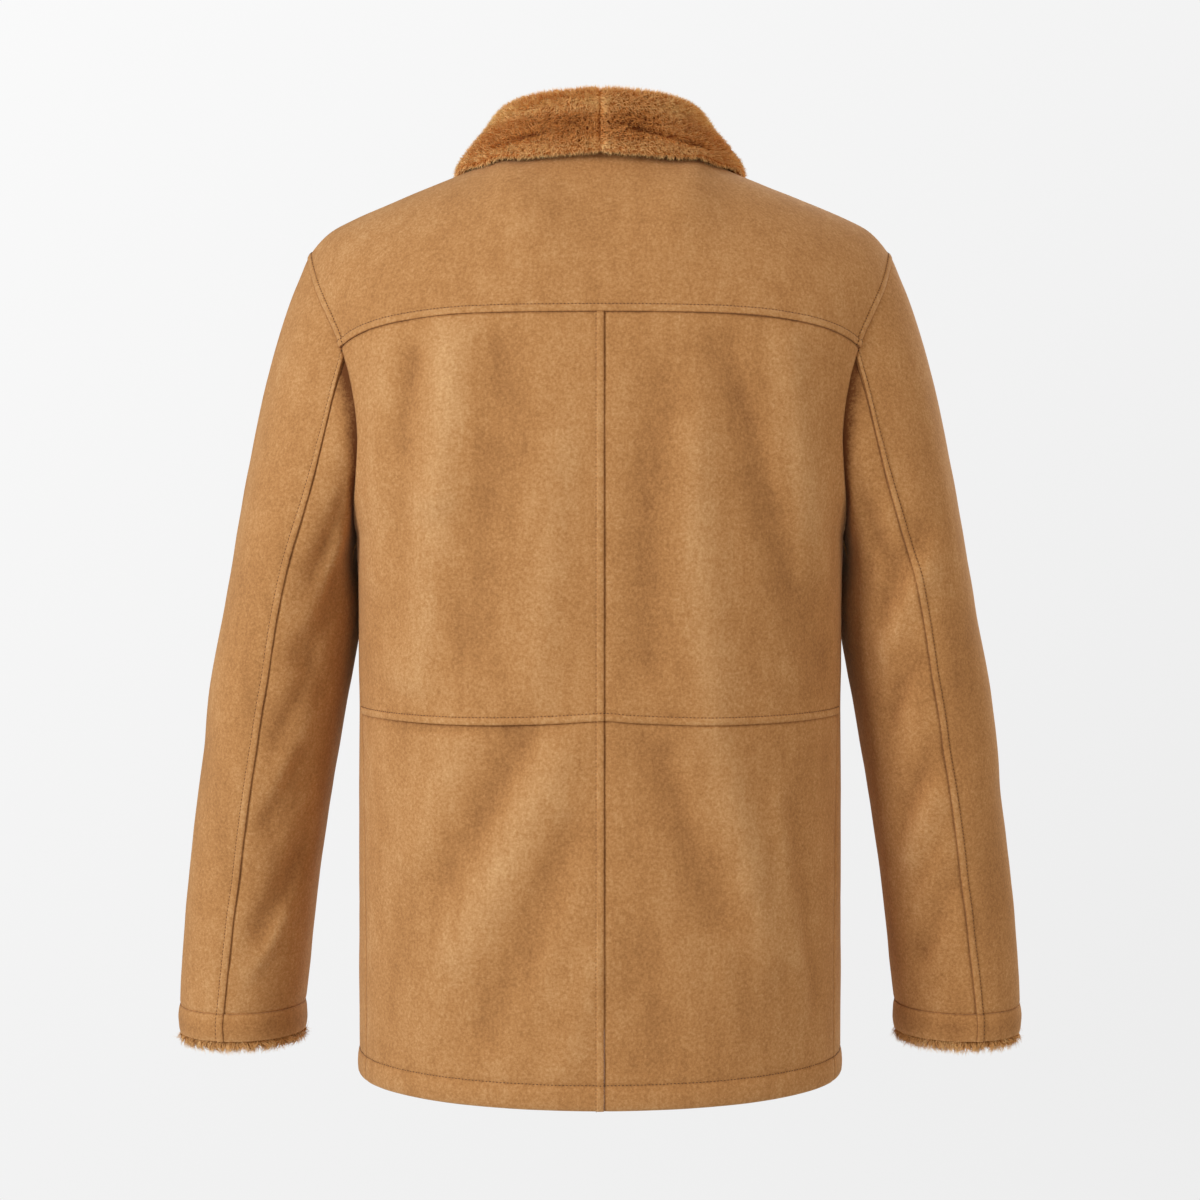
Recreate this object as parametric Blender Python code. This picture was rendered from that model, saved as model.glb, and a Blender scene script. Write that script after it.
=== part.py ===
"""A faux shearling jacket, filled out as worn and open at the neck, the cuffs and the hem.

Lengths in this script are millimetres, turned to metres where a mesh is made. The front faces -Y, the
wearer's left is +X, and +Z is up. The origin is at the centre of the neck opening, where the shoulders
of a wearer or of a display form hold the jacket.

Each cloth piece is a grid of points on the jacket's surface, given a wall inward from those points.
Half of the body is worked out once and mirrored. Side 1 is the wearer's left, side -1 the right.
"""

import math

import bmesh
import bpy
import numpy as np
from mathutils import Matrix, Vector
from mathutils.bvhtree import BVHTree

MILLIMETRE = 0.001

# ---------------------------------------------------------------- driving sizes

HEM = -771.0
HEM_DEPTH = 20.0
WAIST_SEAM = -470.0
WAIST_SAG = 4.0
WAIST_SAG_REACH = 80.0
UNDERARM = -325.0
YOKE_SEAM = -151.0
CHEST_LINE = -168.0
WALL = 4.0
HEM_WALL = 6.5
SEAM_GAP = 0.3
LAP_WIDTH = 7.5
LAP_HEIGHT = 1.3
CENTRE_LAP = 3.2
FRONT_OVERLAP = 28.0
FRONT_STEP = 2.5

NECK_HALF_WIDTH = 88.0
NECK_HALF_DEPTH = 78.0
SHOULDER_SEAM_TURN = 98.0

SLEEVE_TOP = -385.0
CUFF_TOP = -722.0
CUFF_BOTTOM = -745.0
CUFF_BULGE = 1.5
CUFF_FUR_DROP = 7.5
CUFF_FUR_RISE = 22.0
CUFF_FUR_PILE = 6.0
ELBOW_SEAM_TURN = 72.0
INSEAM_TURN = 162.0

STAND_PILE = 9.0
FALL_PILE = 11.0

BUTTON_WIDTH = 25.0
BUTTON_HEIGHT = 4.6
FIRST_BUTTON = -176.0
BUTTON_SPACING = 106.0
BUTTON_COUNT = 5
BUTTON_SIDES = 20

SUEDE = (0.46, 0.23, 0.085, 1.0)
FUR = (0.27, 0.095, 0.028, 1.0)
CUFF_FUR = (0.43, 0.27, 0.15, 1.0)
HORN = (0.055, 0.028, 0.014, 1.0)


def table(columns, rows):
    """A short table: the name of each column, with its values down the rows."""
    return dict(zip(columns.split(), np.array(rows, float).T))


# Level sections of the body, from the hem up. Square is 2 for an ellipse and more for squarer sides.
BODY = table(
    "z half_width back front square",
    [
        (-771, 203.0, 142, 150, 2.05),
        (-620, 202.5, 141, 151, 2.1),
        (-470, 202.5, 137, 147, 2.2),
        (-325, 203.5, 139, 142, 2.4),
        (-260, 205.0, 139, 136, 2.55),
        (-210, 208.5, 136, 128, 2.5),
        (-168, 219.0, 131, 117, 2.4),
        (-140, 229.0, 126, 108, 2.3),
    ],
)
# The side seam's place in front of or behind the widest part.
SIDE_SEAM = table("z y", [(-771, 48), (-600, 46), (-470, 38), (-390, 22), (-325, 12)])
# Height of the neck seam round the neck, from centre back (0) to centre front (180).
NECK = table(
    "turn z",
    [(-45, -11), (0, -13), (45, -11), (90, -9), (112, -15), (135, -37), (160, -68), (180, -80), (200, -68)],
)
SHOULDER = table(
    "x z",
    [
        (88, -9.5),
        (128, -25.5),
        (161, -37.5),
        (194, -50),
        (209, -55.7),
        (224, -62.5),
        (238, -72.5),
        (248, -85),
    ],
)
ARMHOLE_PLACES = (
    # place, x, y, z
    ("underarm", 204.0, 12, -325),
    ("back low", 201.5, 55, -301),
    ("back notch", 196.5, 74, -240),
    ("back blade", 200.5, 71, -208),
    ("yoke corner", 211.0, 62, -171),
    ("back high", 235.0, 34, -120),
    ("shoulder", 248.0, -12, -85),
    ("front high", 236.0, -52, -122),
    ("front upper", 212.0, -75, -172),
    ("front notch", 197.5, -81, -236),
    ("front low", 201.5, -50, -301),
)
# Where a line down the sleeve starts on the armhole, and its turn round the sleeve: 0 is outermost,
# 90 is the back, 180 is next to the body.
SLEEVE_LINES = (
    ("underarm", INSEAM_TURN),
    ("yoke corner", ELBOW_SEAM_TURN),
    ("shoulder", -4.0),
    ("front upper", -72.0),
    ("underarm", INSEAM_TURN - 360.0),
)
# Level sections of the sleeve, from the cuff up.
SLEEVE = table(
    "z centre_x centre_y half_width half_depth",
    [
        (-752, 307.6, -33, 53.2, 54),
        (-722, 307.6, -32, 53.2, 54),
        (-703, 306.0, -31, 54.2, 55),
        (-668, 302.6, -28, 54.6, 57),
        (-599, 294.5, -22, 55.4, 61),
        (-547, 287.3, -17, 56.4, 65),
        (-461, 274.3, -14, 58.4, 72),
        (-427, 268.4, -14, 58.8, 75),
        (-385, 262.4, -14, 57.0, 78),
    ],
)
# Soft folds of the body: the ends of each, its width, and its height, or depth below nought.
BODY_FOLDS = table(
    "face x0 z0 x1 z1 width height",
    [
        # back, above the waist seam
        (1, 170, -180, 176, -362, 16, 2.2),
        (1, 139, -175, 147, -262, 13, -3.8),
        (1, 147, -262, 155, -372, 15, -2.6),
        (1, 103, -170, 108, -289, 20, 4.2),
        (1, 108, -300, 146, -435, 18, 3.6),
        (1, 61, -189, 68, -289, 20, -3.8),
        (1, 68, -300, 80, -410, 19, -3.2),
        (1, 27, -262, 45, -445, 16, 2.6),
        (1, -60, -198, -46, -435, 18, -3.2),
        (1, -96, -189, -119, -445, 18, 3.6),
        (1, -122, -184, -148, -271, 14, -4.2),
        (1, -150, -280, -184, -445, 14, -4.0),
        (1, -169, -175, -178, -380, 12, 2.4),
        # back, below it
        (1, 103, -490, 146, -591, 18, 3.0),
        (1, 45, -486, 114, -604, 16, -4.4),
        (1, 15, -500, 91, -673, 18, 4.4),
        (1, 8, -554, 70, -719, 16, -4.4),
        (1, 4, -655, 27, -737, 14, 2.2),
        (1, -37, -481, -85, -646, 16, -3.8),
        (1, -87, -481, -137, -655, 20, 3.2),
        (1, -142, -530, -163, -704, 8, 1.8),
        (1, -151, -535, -172, -704, 7, -1.6),
        (1, -30, -650, -50, -730, 20, -2.0),
        # front
        (-1, 118, -210, 96, -420, 26, -3.4),
        (-1, 150, -230, 140, -440, 22, 3.0),
        (-1, 70, -240, 64, -470, 24, 2.6),
        (-1, 128, -480, 142, -700, 24, -3.0),
        (-1, 82, -520, 100, -720, 26, 2.8),
        (-1, -110, -200, -92, -400, 24, -3.0),
        (-1, -146, -240, -150, -430, 22, 2.8),
        (-1, -68, -280, -76, -500, 26, 2.4),
        (-1, -120, -500, -134, -690, 24, -3.2),
        (-1, -84, -560, -90, -730, 22, 2.4),
    ],
)
# Soft folds of the sleeves, by their turn round the sleeve and their height.
SLEEVE_FOLDS = table(
    "side turn0 z0 turn1 z1 width height",
    [
        (1, 118, -165, 122, -262, 18, -5.0),
        (1, 84, -180, 92, -250, 16, 2.4),
        (1, 122, -290, 100, -352, 12, -3.2),
        (1, 128, -325, 104, -392, 12, 2.6),
        (1, 128, -362, 98, -424, 12, -2.8),
        (1, 118, -430, 92, -492, 13, -3.0),
        (1, 122, -470, 96, -528, 12, 2.4),
        (1, 120, -508, 94, -560, 12, -3.0),
        (1, 138, -586, 98, -652, 13, -3.2),
        (1, 126, -640, 96, -690, 12, 2.2),
        (1, 40, -360, 66, -480, 24, -2.0),
        (1, 20, -500, 58, -610, 24, -2.0),
        (1, -60, -430, -120, -500, 18, -3.6),
        (1, -70, -480, -125, -540, 18, 2.6),
        (1, -60, -530, -120, -580, 18, -3.2),
        (1, -100, -290, -150, -360, 18, -3.4),
        (-1, 118, -165, 120, -272, 18, -5.0),
        (-1, 84, -190, 94, -262, 16, 2.4),
        (-1, 106, -300, 88, -352, 13, -3.0),
        (-1, 56, -318, 108, -384, 12, -3.4),
        (-1, 64, -352, 116, -420, 12, 2.6),
        (-1, 84, -424, 122, -470, 13, -2.8),
        (-1, 80, -500, 124, -548, 13, -2.8),
        (-1, 86, -540, 126, -590, 12, 2.4),
        (-1, 80, -610, 124, -668, 13, -2.8),
        (-1, 36, -400, 62, -500, 24, -2.0),
        (-1, 16, -540, 54, -650, 24, -2.0),
        (-1, -55, -440, -118, -505, 18, -3.4),
        (-1, -66, -495, -122, -548, 18, 2.4),
        (-1, -58, -545, -116, -600, 18, -3.0),
        (-1, -96, -300, -148, -368, 18, -3.2),
    ],
)
# The collar's middle line in each section: the fold and the edge, out from the neck seam and up from it,
# how far the edge is drawn round to the back, and how clear of the body it hangs.
COLLAR = table(
    "turn fold_out fold_up edge_out edge_up edge_back_turn clear",
    [
        (0, -1, 46, 14, -10, 0, 2.0),
        (30, -4, 44, 17, -11, 0, 2.0),
        (60, -9, 42, 25, -11, 0, 2.6),
        (90, -12, 39, 34, -10, 0, 2.6),
        (115, -12, 38, 39, -22, 4, 4.2),
        (140, -9, 40, 41, -42, 12, 4.2),
        (165, -6, 37, 40, -54, 24, 2.0),
        (180, -5, 35, 38, -56, 34, 2.0),
    ],
)

# ---------------------------------------------------------------- curves and surfaces


def unit(vectors):
    return vectors / np.linalg.norm(vectors, axis=-1, keepdims=True)


def ease(amount):
    """Nought up to 0, one from 1 on, with no corner between."""
    amount = np.clip(amount, 0.0, 1.0)
    return amount * amount * (3.0 - 2.0 * amount)


def hermite(start, end, leave, arrive, amount):
    """The smooth curve from one point to another that leaves and arrives along the given vectors."""
    square, cube = amount**2, amount**3
    return (
        (2 * cube - 3 * square + 1) * start
        + (cube - 2 * square + amount) * leave
        + (3 * square - 2 * cube) * end
        + (cube - square) * arrive
    )


def read(rows, column, along, at):
    """A table's column read smoothly at any place along another column."""
    places, values = rows[along], rows[column]
    slopes = np.gradient(values, places)
    at = np.clip(at, places[0], places[-1])
    low = np.clip(np.searchsorted(places, at, side="right") - 1, 0, len(places) - 2)
    span = places[low + 1] - places[low]
    amount = (at - places[low]) / span
    return hermite(values[low], values[low + 1], slopes[low] * span, slopes[low + 1] * span, amount)


def spread(stops, counts):
    """Numbers from stop to stop, with the given count of even steps between each two."""
    found = [stops[0]]
    for start, end, count in zip(stops, stops[1:], counts):
        found += [start + (end - start) * step / count for step in range(1, count + 1)]
    return np.array(found)


def lengths_along(points):
    return np.concatenate([[0.0], np.cumsum(np.linalg.norm(np.diff(points, axis=0), axis=1))])


def resample(points, places):
    """Points on a fine line at the given lengths along it."""
    along = lengths_along(points)
    return np.stack([np.interp(places, along, points[:, axis]) for axis in range(3)], axis=-1)


def body_point(turn, z):
    """A point of the body below the yoke, by its turn from centre back round the side, in radians."""
    half_width, square = read(BODY, "half_width", "z", z), read(BODY, "square", "z", z)
    depth = np.where(np.cos(turn) > 0, read(BODY, "back", "z", z), read(BODY, "front", "z", z))
    across, along = np.abs(np.sin(turn) / half_width), np.abs(np.cos(turn) / depth)
    reach = (across**square + along**square) ** (-1 / square)
    return np.stack([reach * np.sin(turn), reach * np.cos(turn), z + 0 * turn], axis=-1)


def side_seam_point(z):
    """The body's point at the side seam: its turn is found by halving the quarter that holds it."""
    y = read(SIDE_SEAM, "y", "z", z)
    low, high = 0.0, math.pi / 2
    for _ in range(40):
        middle = (low + high) / 2
        low, high = (middle, high) if body_point(middle, z)[1] > y else (low, middle)
    return body_point(low, z)


class Armhole:
    """The closed line through the armhole's places, read by length from the underarm up the back."""

    def __init__(self):
        points = np.array([place[1:] for place in ARMHOLE_PLACES], float)
        around = np.vstack([points, points, points, points[:1]])
        along = lengths_along(around)
        count = len(points)
        self.length = along[count]
        slopes = np.gradient(around, along, axis=0)
        self.along = along[count : 2 * count + 1] - along[count]
        self.points = around[count : 2 * count + 1]
        self.slopes = slopes[count : 2 * count + 1]
        self.at = {place[0]: start for place, start in zip(ARMHOLE_PLACES, self.along)}

    def point(self, length):
        length = np.asarray(length, float) % self.length
        low = np.clip(np.searchsorted(self.along, length, side="right") - 1, 0, len(self.along) - 2)
        span = (self.along[low + 1] - self.along[low])[..., None]
        amount = (length - self.along[low])[..., None] / span
        leave, arrive = self.slopes[low] * span, self.slopes[low + 1] * span
        return hermite(self.points[low], self.points[low + 1], leave, arrive, amount)

    def heading(self, length):
        return unit(self.point(length + 0.5) - self.point(length - 0.5))


ARMHOLE = Armhole()


def neck_point(turn):
    """A point of the neck seam, by its turn in degrees from centre back."""
    angle = np.radians(turn)
    height = read(NECK, "z", "turn", np.where(turn > 180, 360 - turn, turn))
    return np.stack([NECK_HALF_WIDTH * np.sin(angle), NECK_HALF_DEPTH * np.cos(angle), height], axis=-1)


def shoulder_line():
    """The shoulder seam from the neck to the armhole, a little in front of the ridge."""
    start, end = neck_point(np.array(SHOULDER_SEAM_TURN)), ARMHOLE.point(ARMHOLE.at["shoulder"])
    x = np.linspace(start[0], end[0], FINE_STEPS)
    amount = (x - start[0]) / (end[0] - start[0])
    height = read(SHOULDER, "z", "x", x)
    height += (1 - amount) * (start[2] - height[0]) + amount * (end[2] - height[-1])
    return np.stack([x, start[1] + (end[1] - start[1]) * amount, height], axis=-1)


def row_places(length, first, count, last):
    """Lengths along a row: a strip at either end, where its width is given, and even steps between."""
    start = [first] if first else []
    end = [length - last] if last else []
    return np.array([0.0] + start + [length * step / count for step in range(1, count)] + end + [length])


# Points on a fine line, from which a row's few points are read by length.
FINE_STEPS = 90


def body_row(z_middle, edge, droop, from_x, front):
    """A fine line across half of the body, from its middle to the given point of its edge."""
    middle_turn = math.pi if front else 0.0
    start_turn = middle_turn + from_x / read(BODY, "front" if front else "back", "z", z_middle)
    edge_turn = math.atan2(edge[0], edge[1])
    amount = np.linspace(0, 1, FINE_STEPS)
    turn = start_turn + (edge_turn - start_turn) * amount
    across = np.clip((turn - middle_turn) / (edge_turn - middle_turn), 0, 1)
    z = z_middle + (edge[2] - z_middle) * across**droop
    sag = WAIST_SAG * math.exp(-(((z_middle - WAIST_SEAM) / WAIST_SAG_REACH) ** 2))
    z -= sag * np.sin(math.pi * across)
    points = body_point(turn, z)
    return points + (edge - points[-1]) * (amount**5)[:, None]


# ---------------------------------------------------------------- the body's grids


def body_edges(front):
    """For each row of half the body: its height in the middle, its point on the edge, and its droop."""
    stops = [HEM, HEM + HEM_DEPTH / 2, HEM + HEM_DEPTH, WAIST_SEAM, WAIST_SEAM + LAP_WIDTH]
    side = spread(stops + [UNDERARM], [1, 1, 8, 1, 4])
    if front:
        arm = ARMHOLE.length - spread([0, ARMHOLE.length - ARMHOLE.at["front upper"]], [6])[1:]
        top, last_droop = CHEST_LINE, 2.0
    else:
        arm = spread([0, ARMHOLE.at["yoke corner"]], [7])[1:]
        top, last_droop = YOKE_SEAM, 6.5
    edges = np.vstack([[side_seam_point(z) for z in side], ARMHOLE.point(arm)])
    edges[len(side) - 1] = ARMHOLE.point(0.0)
    middle = spread(stops + [top], [1, 1, 8, 1, 4 + len(arm)])
    droop = 2.0 + (last_droop - 2.0) * ease((np.arange(len(middle)) - len(side)) / len(arm))
    return zip(middle, edges, droop)


BACK_COLUMNS, NECK_COLUMNS = 12, 5
FRONT_COLUMNS = BACK_COLUMNS + 1
YOKE_ROWS = 6
NECK_CORNER = NECK_COLUMNS + 1
SHOULDER_FULLNESS = 1.15


def back_grid():
    """Half of the back, from the hem to the yoke seam and from centre back to the side."""
    rows = []
    for z, edge, droop in body_edges(front=False):
        line = body_row(z, edge, droop, 0.0, front=False)
        length = lengths_along(line)[-1]
        rows.append(resample(line, row_places(length, CENTRE_LAP, BACK_COLUMNS, LAP_WIDTH)))
    return np.array(rows)


def front_grid():
    """Half of the front, from the hem to the chest line and from its edge, past the middle, to the side."""
    rows = []
    for z, edge, droop in body_edges(front=True):
        line = body_row(z, edge, droop, FRONT_OVERLAP, front=True)
        length = lengths_along(line)[-1]
        places = row_places(length - 2 * FRONT_OVERLAP, None, FRONT_COLUMNS - 2, LAP_WIDTH)
        rows.append(resample(line, np.concatenate([[0.0, FRONT_OVERLAP], places + 2 * FRONT_OVERLAP])))
    return np.array(rows)


def from_middle(points, middle, end=-1):
    """How far each point of a line lies from its middle one, as a share of the way to its end."""
    along = lengths_along(points)
    return np.abs(along - along[middle]) / (along[end] - along[middle])


def over_shoulder(below, before, top, top_heading, arm_lengths, middle):
    """The rows from a level row up to the neck and the shoulder seam, one smooth line up each column."""
    across = from_middle(top, middle) ** 3
    leave = unit(below - before)
    up_armhole = ARMHOLE.heading(arm_lengths[0]) * np.sign(arm_lengths[1] - arm_lengths[0])
    leave = unit(leave + (up_armhole - leave) * across[:, None])
    reach = np.linalg.norm(top - below, axis=1)[:, None] * SHOULDER_FULLNESS
    edge = ARMHOLE.point(arm_lengths)
    first = np.linalg.norm(edge[1] - edge[0]) / lengths_along(edge)[-1]
    amounts = np.concatenate([[0.0], np.linspace(first, 1, len(arm_lengths) - 1)])
    rows = []
    for step, amount in enumerate(amounts):
        row = hermite(below, top, leave * reach, top_heading * reach, amount)
        row += (edge[step] - row[-1]) * (across**2)[:, None]
        rows.append(row)
    return np.array(rows)


def yoke_grid(back):
    """Half of the yoke: from the yoke seam up to the neck and over to the shoulder seam."""
    lowest = ARMHOLE.at["yoke corner"]
    arm = spread([lowest, lowest + LAP_WIDTH, ARMHOLE.at["shoulder"]], [1, YOKE_ROWS])
    neck = neck_point(np.linspace(0, SHOULDER_SEAM_TURN, FINE_STEPS))
    neck_places = row_places(lengths_along(neck)[-1], CENTRE_LAP, NECK_COLUMNS, None)
    shoulder = shoulder_line()
    shoulder_columns = BACK_COLUMNS - NECK_COLUMNS
    shoulder_places = row_places(lengths_along(shoulder)[-1], None, shoulder_columns, LAP_WIDTH)
    top = np.vstack([resample(neck, neck_places), resample(shoulder, shoulder_places)[1:]])
    turned = ease(from_middle(top, 0, NECK_CORNER))[:, None]
    heading = unit(np.array([0, -0.42, 0.90]) * (1 - turned) + np.array([0, -0.97, -0.20]) * turned)
    heading[-1] = ARMHOLE.heading(ARMHOLE.at["shoulder"])
    return over_shoulder(back[-1], back[-2], top, heading, arm, 0)


def upper_front_grid(front):
    """Half of the upper front: from the chest line up to the neck and the shoulder seam."""
    arm = spread([ARMHOLE.at["front upper"], ARMHOLE.at["shoulder"]], [5])
    past_middle = math.degrees(FRONT_OVERLAP / NECK_HALF_WIDTH)
    neck = neck_point(np.linspace(180 + past_middle, SHOULDER_SEAM_TURN, FINE_STEPS))
    inner = np.linspace(2 * FRONT_OVERLAP, lengths_along(neck)[-1], NECK_COLUMNS)
    neck_places = np.concatenate([[0.0, FRONT_OVERLAP], inner])
    shoulder = shoulder_line()
    shoulder_columns = FRONT_COLUMNS - 1 - NECK_COLUMNS
    shoulder_places = row_places(lengths_along(shoulder)[-1], None, shoulder_columns, LAP_WIDTH)
    top = np.vstack([resample(neck, neck_places), resample(shoulder, shoulder_places)[1:]])
    turned = ease(from_middle(top, 1, NECK_CORNER))[:, None]
    heading = unit(np.array([0, 0.42, 0.90]) * (1 - turned) + np.array([0, 0.97, 0.20]) * turned)
    return over_shoulder(front[-1], front[-2], top, heading, arm, 1)


def grid_normals(points, round_columns=False):
    """The outward direction at each point of a grid whose rows run up and whose columns run round."""
    if round_columns:
        across = (np.roll(points, -1, axis=1) - np.roll(points, 1, axis=1)) / 2
    else:
        across = np.gradient(points, axis=1)
    return unit(np.cross(across, np.gradient(points, axis=0)))


def facing_out(normals, points, middle):
    """The same normals, turned to point away from the given place where they don't."""
    return normals if np.sum(normals * (points - middle)) > 0 else -normals


# ---------------------------------------------------------------- half of the body, worked out once

YOKE_CORNER = ARMHOLE.at["yoke corner"]
BACK_ARM = spread([0, YOKE_CORNER, YOKE_CORNER + LAP_WIDTH, ARMHOLE.at["shoulder"]], [7, 1, YOKE_ROWS])
FRONT_ARM = spread([ARMHOLE.length, ARMHOLE.at["front upper"], ARMHOLE.at["shoulder"]], [6, 5])
WAIST_ROW, UNDERARM_ROW, YOKE_ROW = 10, 15, 22
BODY_MIDDLE = np.array([0.0, 0.0, -300.0])


class HalfBody:
    """Grids of the wearer's left half of the back and of the front, with each point's outward direction."""

    def __init__(self):
        lower_back, lower_front = back_grid(), front_grid()
        self.back = np.vstack([lower_back, yoke_grid(lower_back)[1:]])
        self.front = np.vstack([lower_front, upper_front_grid(lower_front)[1:]])
        self.back_out = facing_out(grid_normals(self.back), self.back, BODY_MIDDLE)
        self.front_out = facing_out(grid_normals(self.front), self.front, BODY_MIDDLE)
        self.back_out[:, 0, 0] = 0.0
        side = slice(0, UNDERARM_ROW + 1)
        self.back_out[side, -1] += self.front_out[side, -1]
        self.front_out[side, -1] = self.back_out[side, -1]
        shoulder = slice(NECK_CORNER, None)
        self.back_out[-1, shoulder] += self.front_out[-1, shoulder]
        self.front_out[-1, shoulder] = self.back_out[-1, shoulder]
        self.back_out, self.front_out = unit(self.back_out), unit(self.front_out)

    def armhole_ring(self, back, front):
        """Values at the armhole's points, in order from the underarm up the back and down the front."""
        return np.concatenate([back[UNDERARM_ROW:], front[::-1][1 : len(front) - 1 - UNDERARM_ROW]])

    def set_mitre(self, mitre):
        """The direction shared with the sleeve at each point of the armhole."""
        count = len(self.back) - UNDERARM_ROW
        self.back_out[UNDERARM_ROW:, -1] = mitre[:count]
        self.front_out[UNDERARM_ROW + 1 : -1, -1] = mitre[count:][::-1]
        self.front_out[UNDERARM_ROW, -1] = mitre[0]
        self.front_out[-1, -1] = mitre[count - 1]


# ---------------------------------------------------------------- the sleeve

CAP_ROWS, ARM_ROWS = 8, 12
ELBOW_COLUMN = 7


def sleeve_ring(turn, z):
    """A point of the sleeve below the underarm, by its turn in radians."""
    x = read(SLEEVE, "centre_x", "z", z) + read(SLEEVE, "half_width", "z", z) * np.cos(turn)
    y = read(SLEEVE, "centre_y", "z", z) + read(SLEEVE, "half_depth", "z", z) * np.sin(turn)
    return np.stack([x, y, z + 0 * turn], axis=-1)


def sleeve_turns(lengths):
    """The turn round the sleeve, in radians, of the line that starts at each length of the armhole."""
    starts = [ARMHOLE.at[place] for place, _ in SLEEVE_LINES]
    starts[-1] = ARMHOLE.length
    turns = [turn for _, turn in SLEEVE_LINES]
    starts.insert(2, starts[1] + LAP_WIDTH)
    turns.insert(2, turns[1] - 6.0)
    return np.radians(np.interp(lengths, starts, turns))


def sleeve_grid(lengths):
    """The sleeve from the armhole to the cuff seam, one column for each point of the armhole."""
    turn = sleeve_turns(lengths)
    start, end = ARMHOLE.point(lengths), sleeve_ring(turn, SLEEVE_TOP)
    distance = np.linalg.norm(end - start, axis=1)[:, None]
    under = ((1 - np.cos(turn)) / 2) ** 3
    leave = unit(np.stack([0.42 + 0.15 * under, 0.10 * np.sin(turn), -0.91 + 0.12 * under], axis=-1))
    arrive = unit(sleeve_ring(turn, SLEEVE_TOP - 2.0) - end)
    cap = [
        hermite(start, end, leave * distance, arrive * distance, amount)
        for amount in np.linspace(0, 1, CAP_ROWS + 1)
    ]
    arm = [sleeve_ring(turn, z) for z in np.linspace(SLEEVE_TOP, CUFF_TOP, ARM_ROWS + 1)[1:]]
    return np.array(cap + arm)


def ring_normals(turn, z):
    """The level outward direction round a level ring of the sleeve."""
    width, depth = read(SLEEVE, "half_width", "z", z), read(SLEEVE, "half_depth", "z", z)
    return unit(np.stack([np.cos(turn) / width, np.sin(turn) / depth, 0 * turn], axis=-1))


def mitre_directions(ring, body_inward, body_out, sleeve_inward, sleeve_out):
    """At each point of a seam, the direction midway between the outer sides of its two cloths."""
    along = unit(np.roll(ring, -1, axis=0) - np.roll(ring, 1, axis=0))
    total = body_out + sleeve_out
    for inward in (body_inward, sleeve_inward):
        total = total + unit(inward - along * np.sum(inward * along, axis=1, keepdims=True))
    total -= along * np.sum(total * along, axis=1, keepdims=True)
    return unit(total)


# ---------------------------------------------------------------- folds in the cloth


def fold_heights(rows, kind, side, across, up, across_scale=1.0):
    """How far the soft folds of one face or side lift the cloth at each place."""
    total = np.zeros_like(across)
    for index in np.flatnonzero(rows[kind] == side):
        names = ("x0", "z0", "x1", "z1") if "x0" in rows else ("turn0", "z0", "turn1", "z1")
        x0, z0, x1, z1 = (rows[name][index] for name in names)
        x0, x1 = x0 * across_scale, x1 * across_scale
        run, rise = x1 - x0, z1 - z0
        along = np.clip(((across - x0) * run + (up - z0) * rise) / (run**2 + rise**2), 0, 1)
        away = np.hypot(across - x0 - along * run, up - z0 - along * rise)
        total += rows["height"][index] * np.exp(-((away / rows["width"][index]) ** 2))
    return total


def body_drape(points, face, side):
    """Folds of one half of the back (face 1) or front (face -1), still at the side seam and the armhole."""
    heights = fold_heights(BODY_FOLDS, "face", face, side * points[..., 0], points[..., 2])
    columns = np.linspace(0, 1, points.shape[1])
    still = 1 - ease((columns - 0.84) / 0.12)
    return heights * still


# The length of one degree round the sleeve, whose mean radius is about 60.
SLEEVE_DEGREE = math.radians(60.0)


def sleeve_drape(points, turn, side):
    """Folds of one sleeve, still at the armhole and the cuff seam."""
    degrees = np.degrees(turn)
    across = np.where(degrees < -180, degrees + 360, degrees) * SLEEVE_DEGREE + 0 * points[..., 0]
    heights = fold_heights(SLEEVE_FOLDS, "side", side, across, points[..., 2], SLEEVE_DEGREE)
    rows = np.arange(len(points))
    still = ease(rows / 3.0) * ease((len(points) - 1 - rows) / 2.0)
    return heights * still[:, None]


# ---------------------------------------------------------------- meshes


def material(name, colour, roughness):
    made = bpy.data.materials.new(name)
    made.use_nodes = True
    shader = made.node_tree.nodes["Principled BSDF"]
    shader.inputs["Base Color"].default_value = colour
    shader.inputs["Roughness"].default_value = roughness
    shader.inputs["Metallic"].default_value = 0.0
    made.diffuse_color = colour
    return made


def finished(name, mesh, colour, roughness):
    """The piece's object, from its built-up mesh."""
    data = bpy.data.meshes.new(name)
    mesh.to_mesh(data)
    mesh.free()
    data.shade_smooth()
    data.set_sharp_from_angle(angle=math.radians(50))
    data.materials.append(material(name, colour, roughness))
    piece = bpy.data.objects.new(name, data)
    bpy.context.scene.collection.objects.link(piece)
    return piece


def closed_shell(name, outer, inner, colour, roughness=0.9, round_columns=False):
    """One closed body between an outer and an inner grid of points, with its edges filled in."""
    row_count, column_count = outer.shape[:2]
    mesh = bmesh.new()
    skins = []
    for grid in (outer, inner):
        skins.append([[mesh.verts.new(Vector(point) * MILLIMETRE) for point in row] for row in grid])
    spans = range(column_count if round_columns else column_count - 1)
    for skin in skins:
        for i in range(row_count - 1):
            for j in spans:
                k = (j + 1) % column_count
                mesh.faces.new((skin[i][j], skin[i][k], skin[i + 1][k], skin[i + 1][j]))
    out, back = skins
    for i in (0, row_count - 1):
        for j in spans:
            k = (j + 1) % column_count
            mesh.faces.new((out[i][j], out[i][k], back[i][k], back[i][j]))
    if not round_columns:
        for j in (0, column_count - 1):
            for i in range(row_count - 1):
                mesh.faces.new((out[i][j], out[i + 1][j], back[i + 1][j], back[i][j]))
    bmesh.ops.recalc_face_normals(mesh, faces=mesh.faces)
    bmesh.ops.triangulate(mesh, faces=mesh.faces, quad_method="SHORT_EDGE")
    return finished(name, mesh, colour, roughness)


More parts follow.
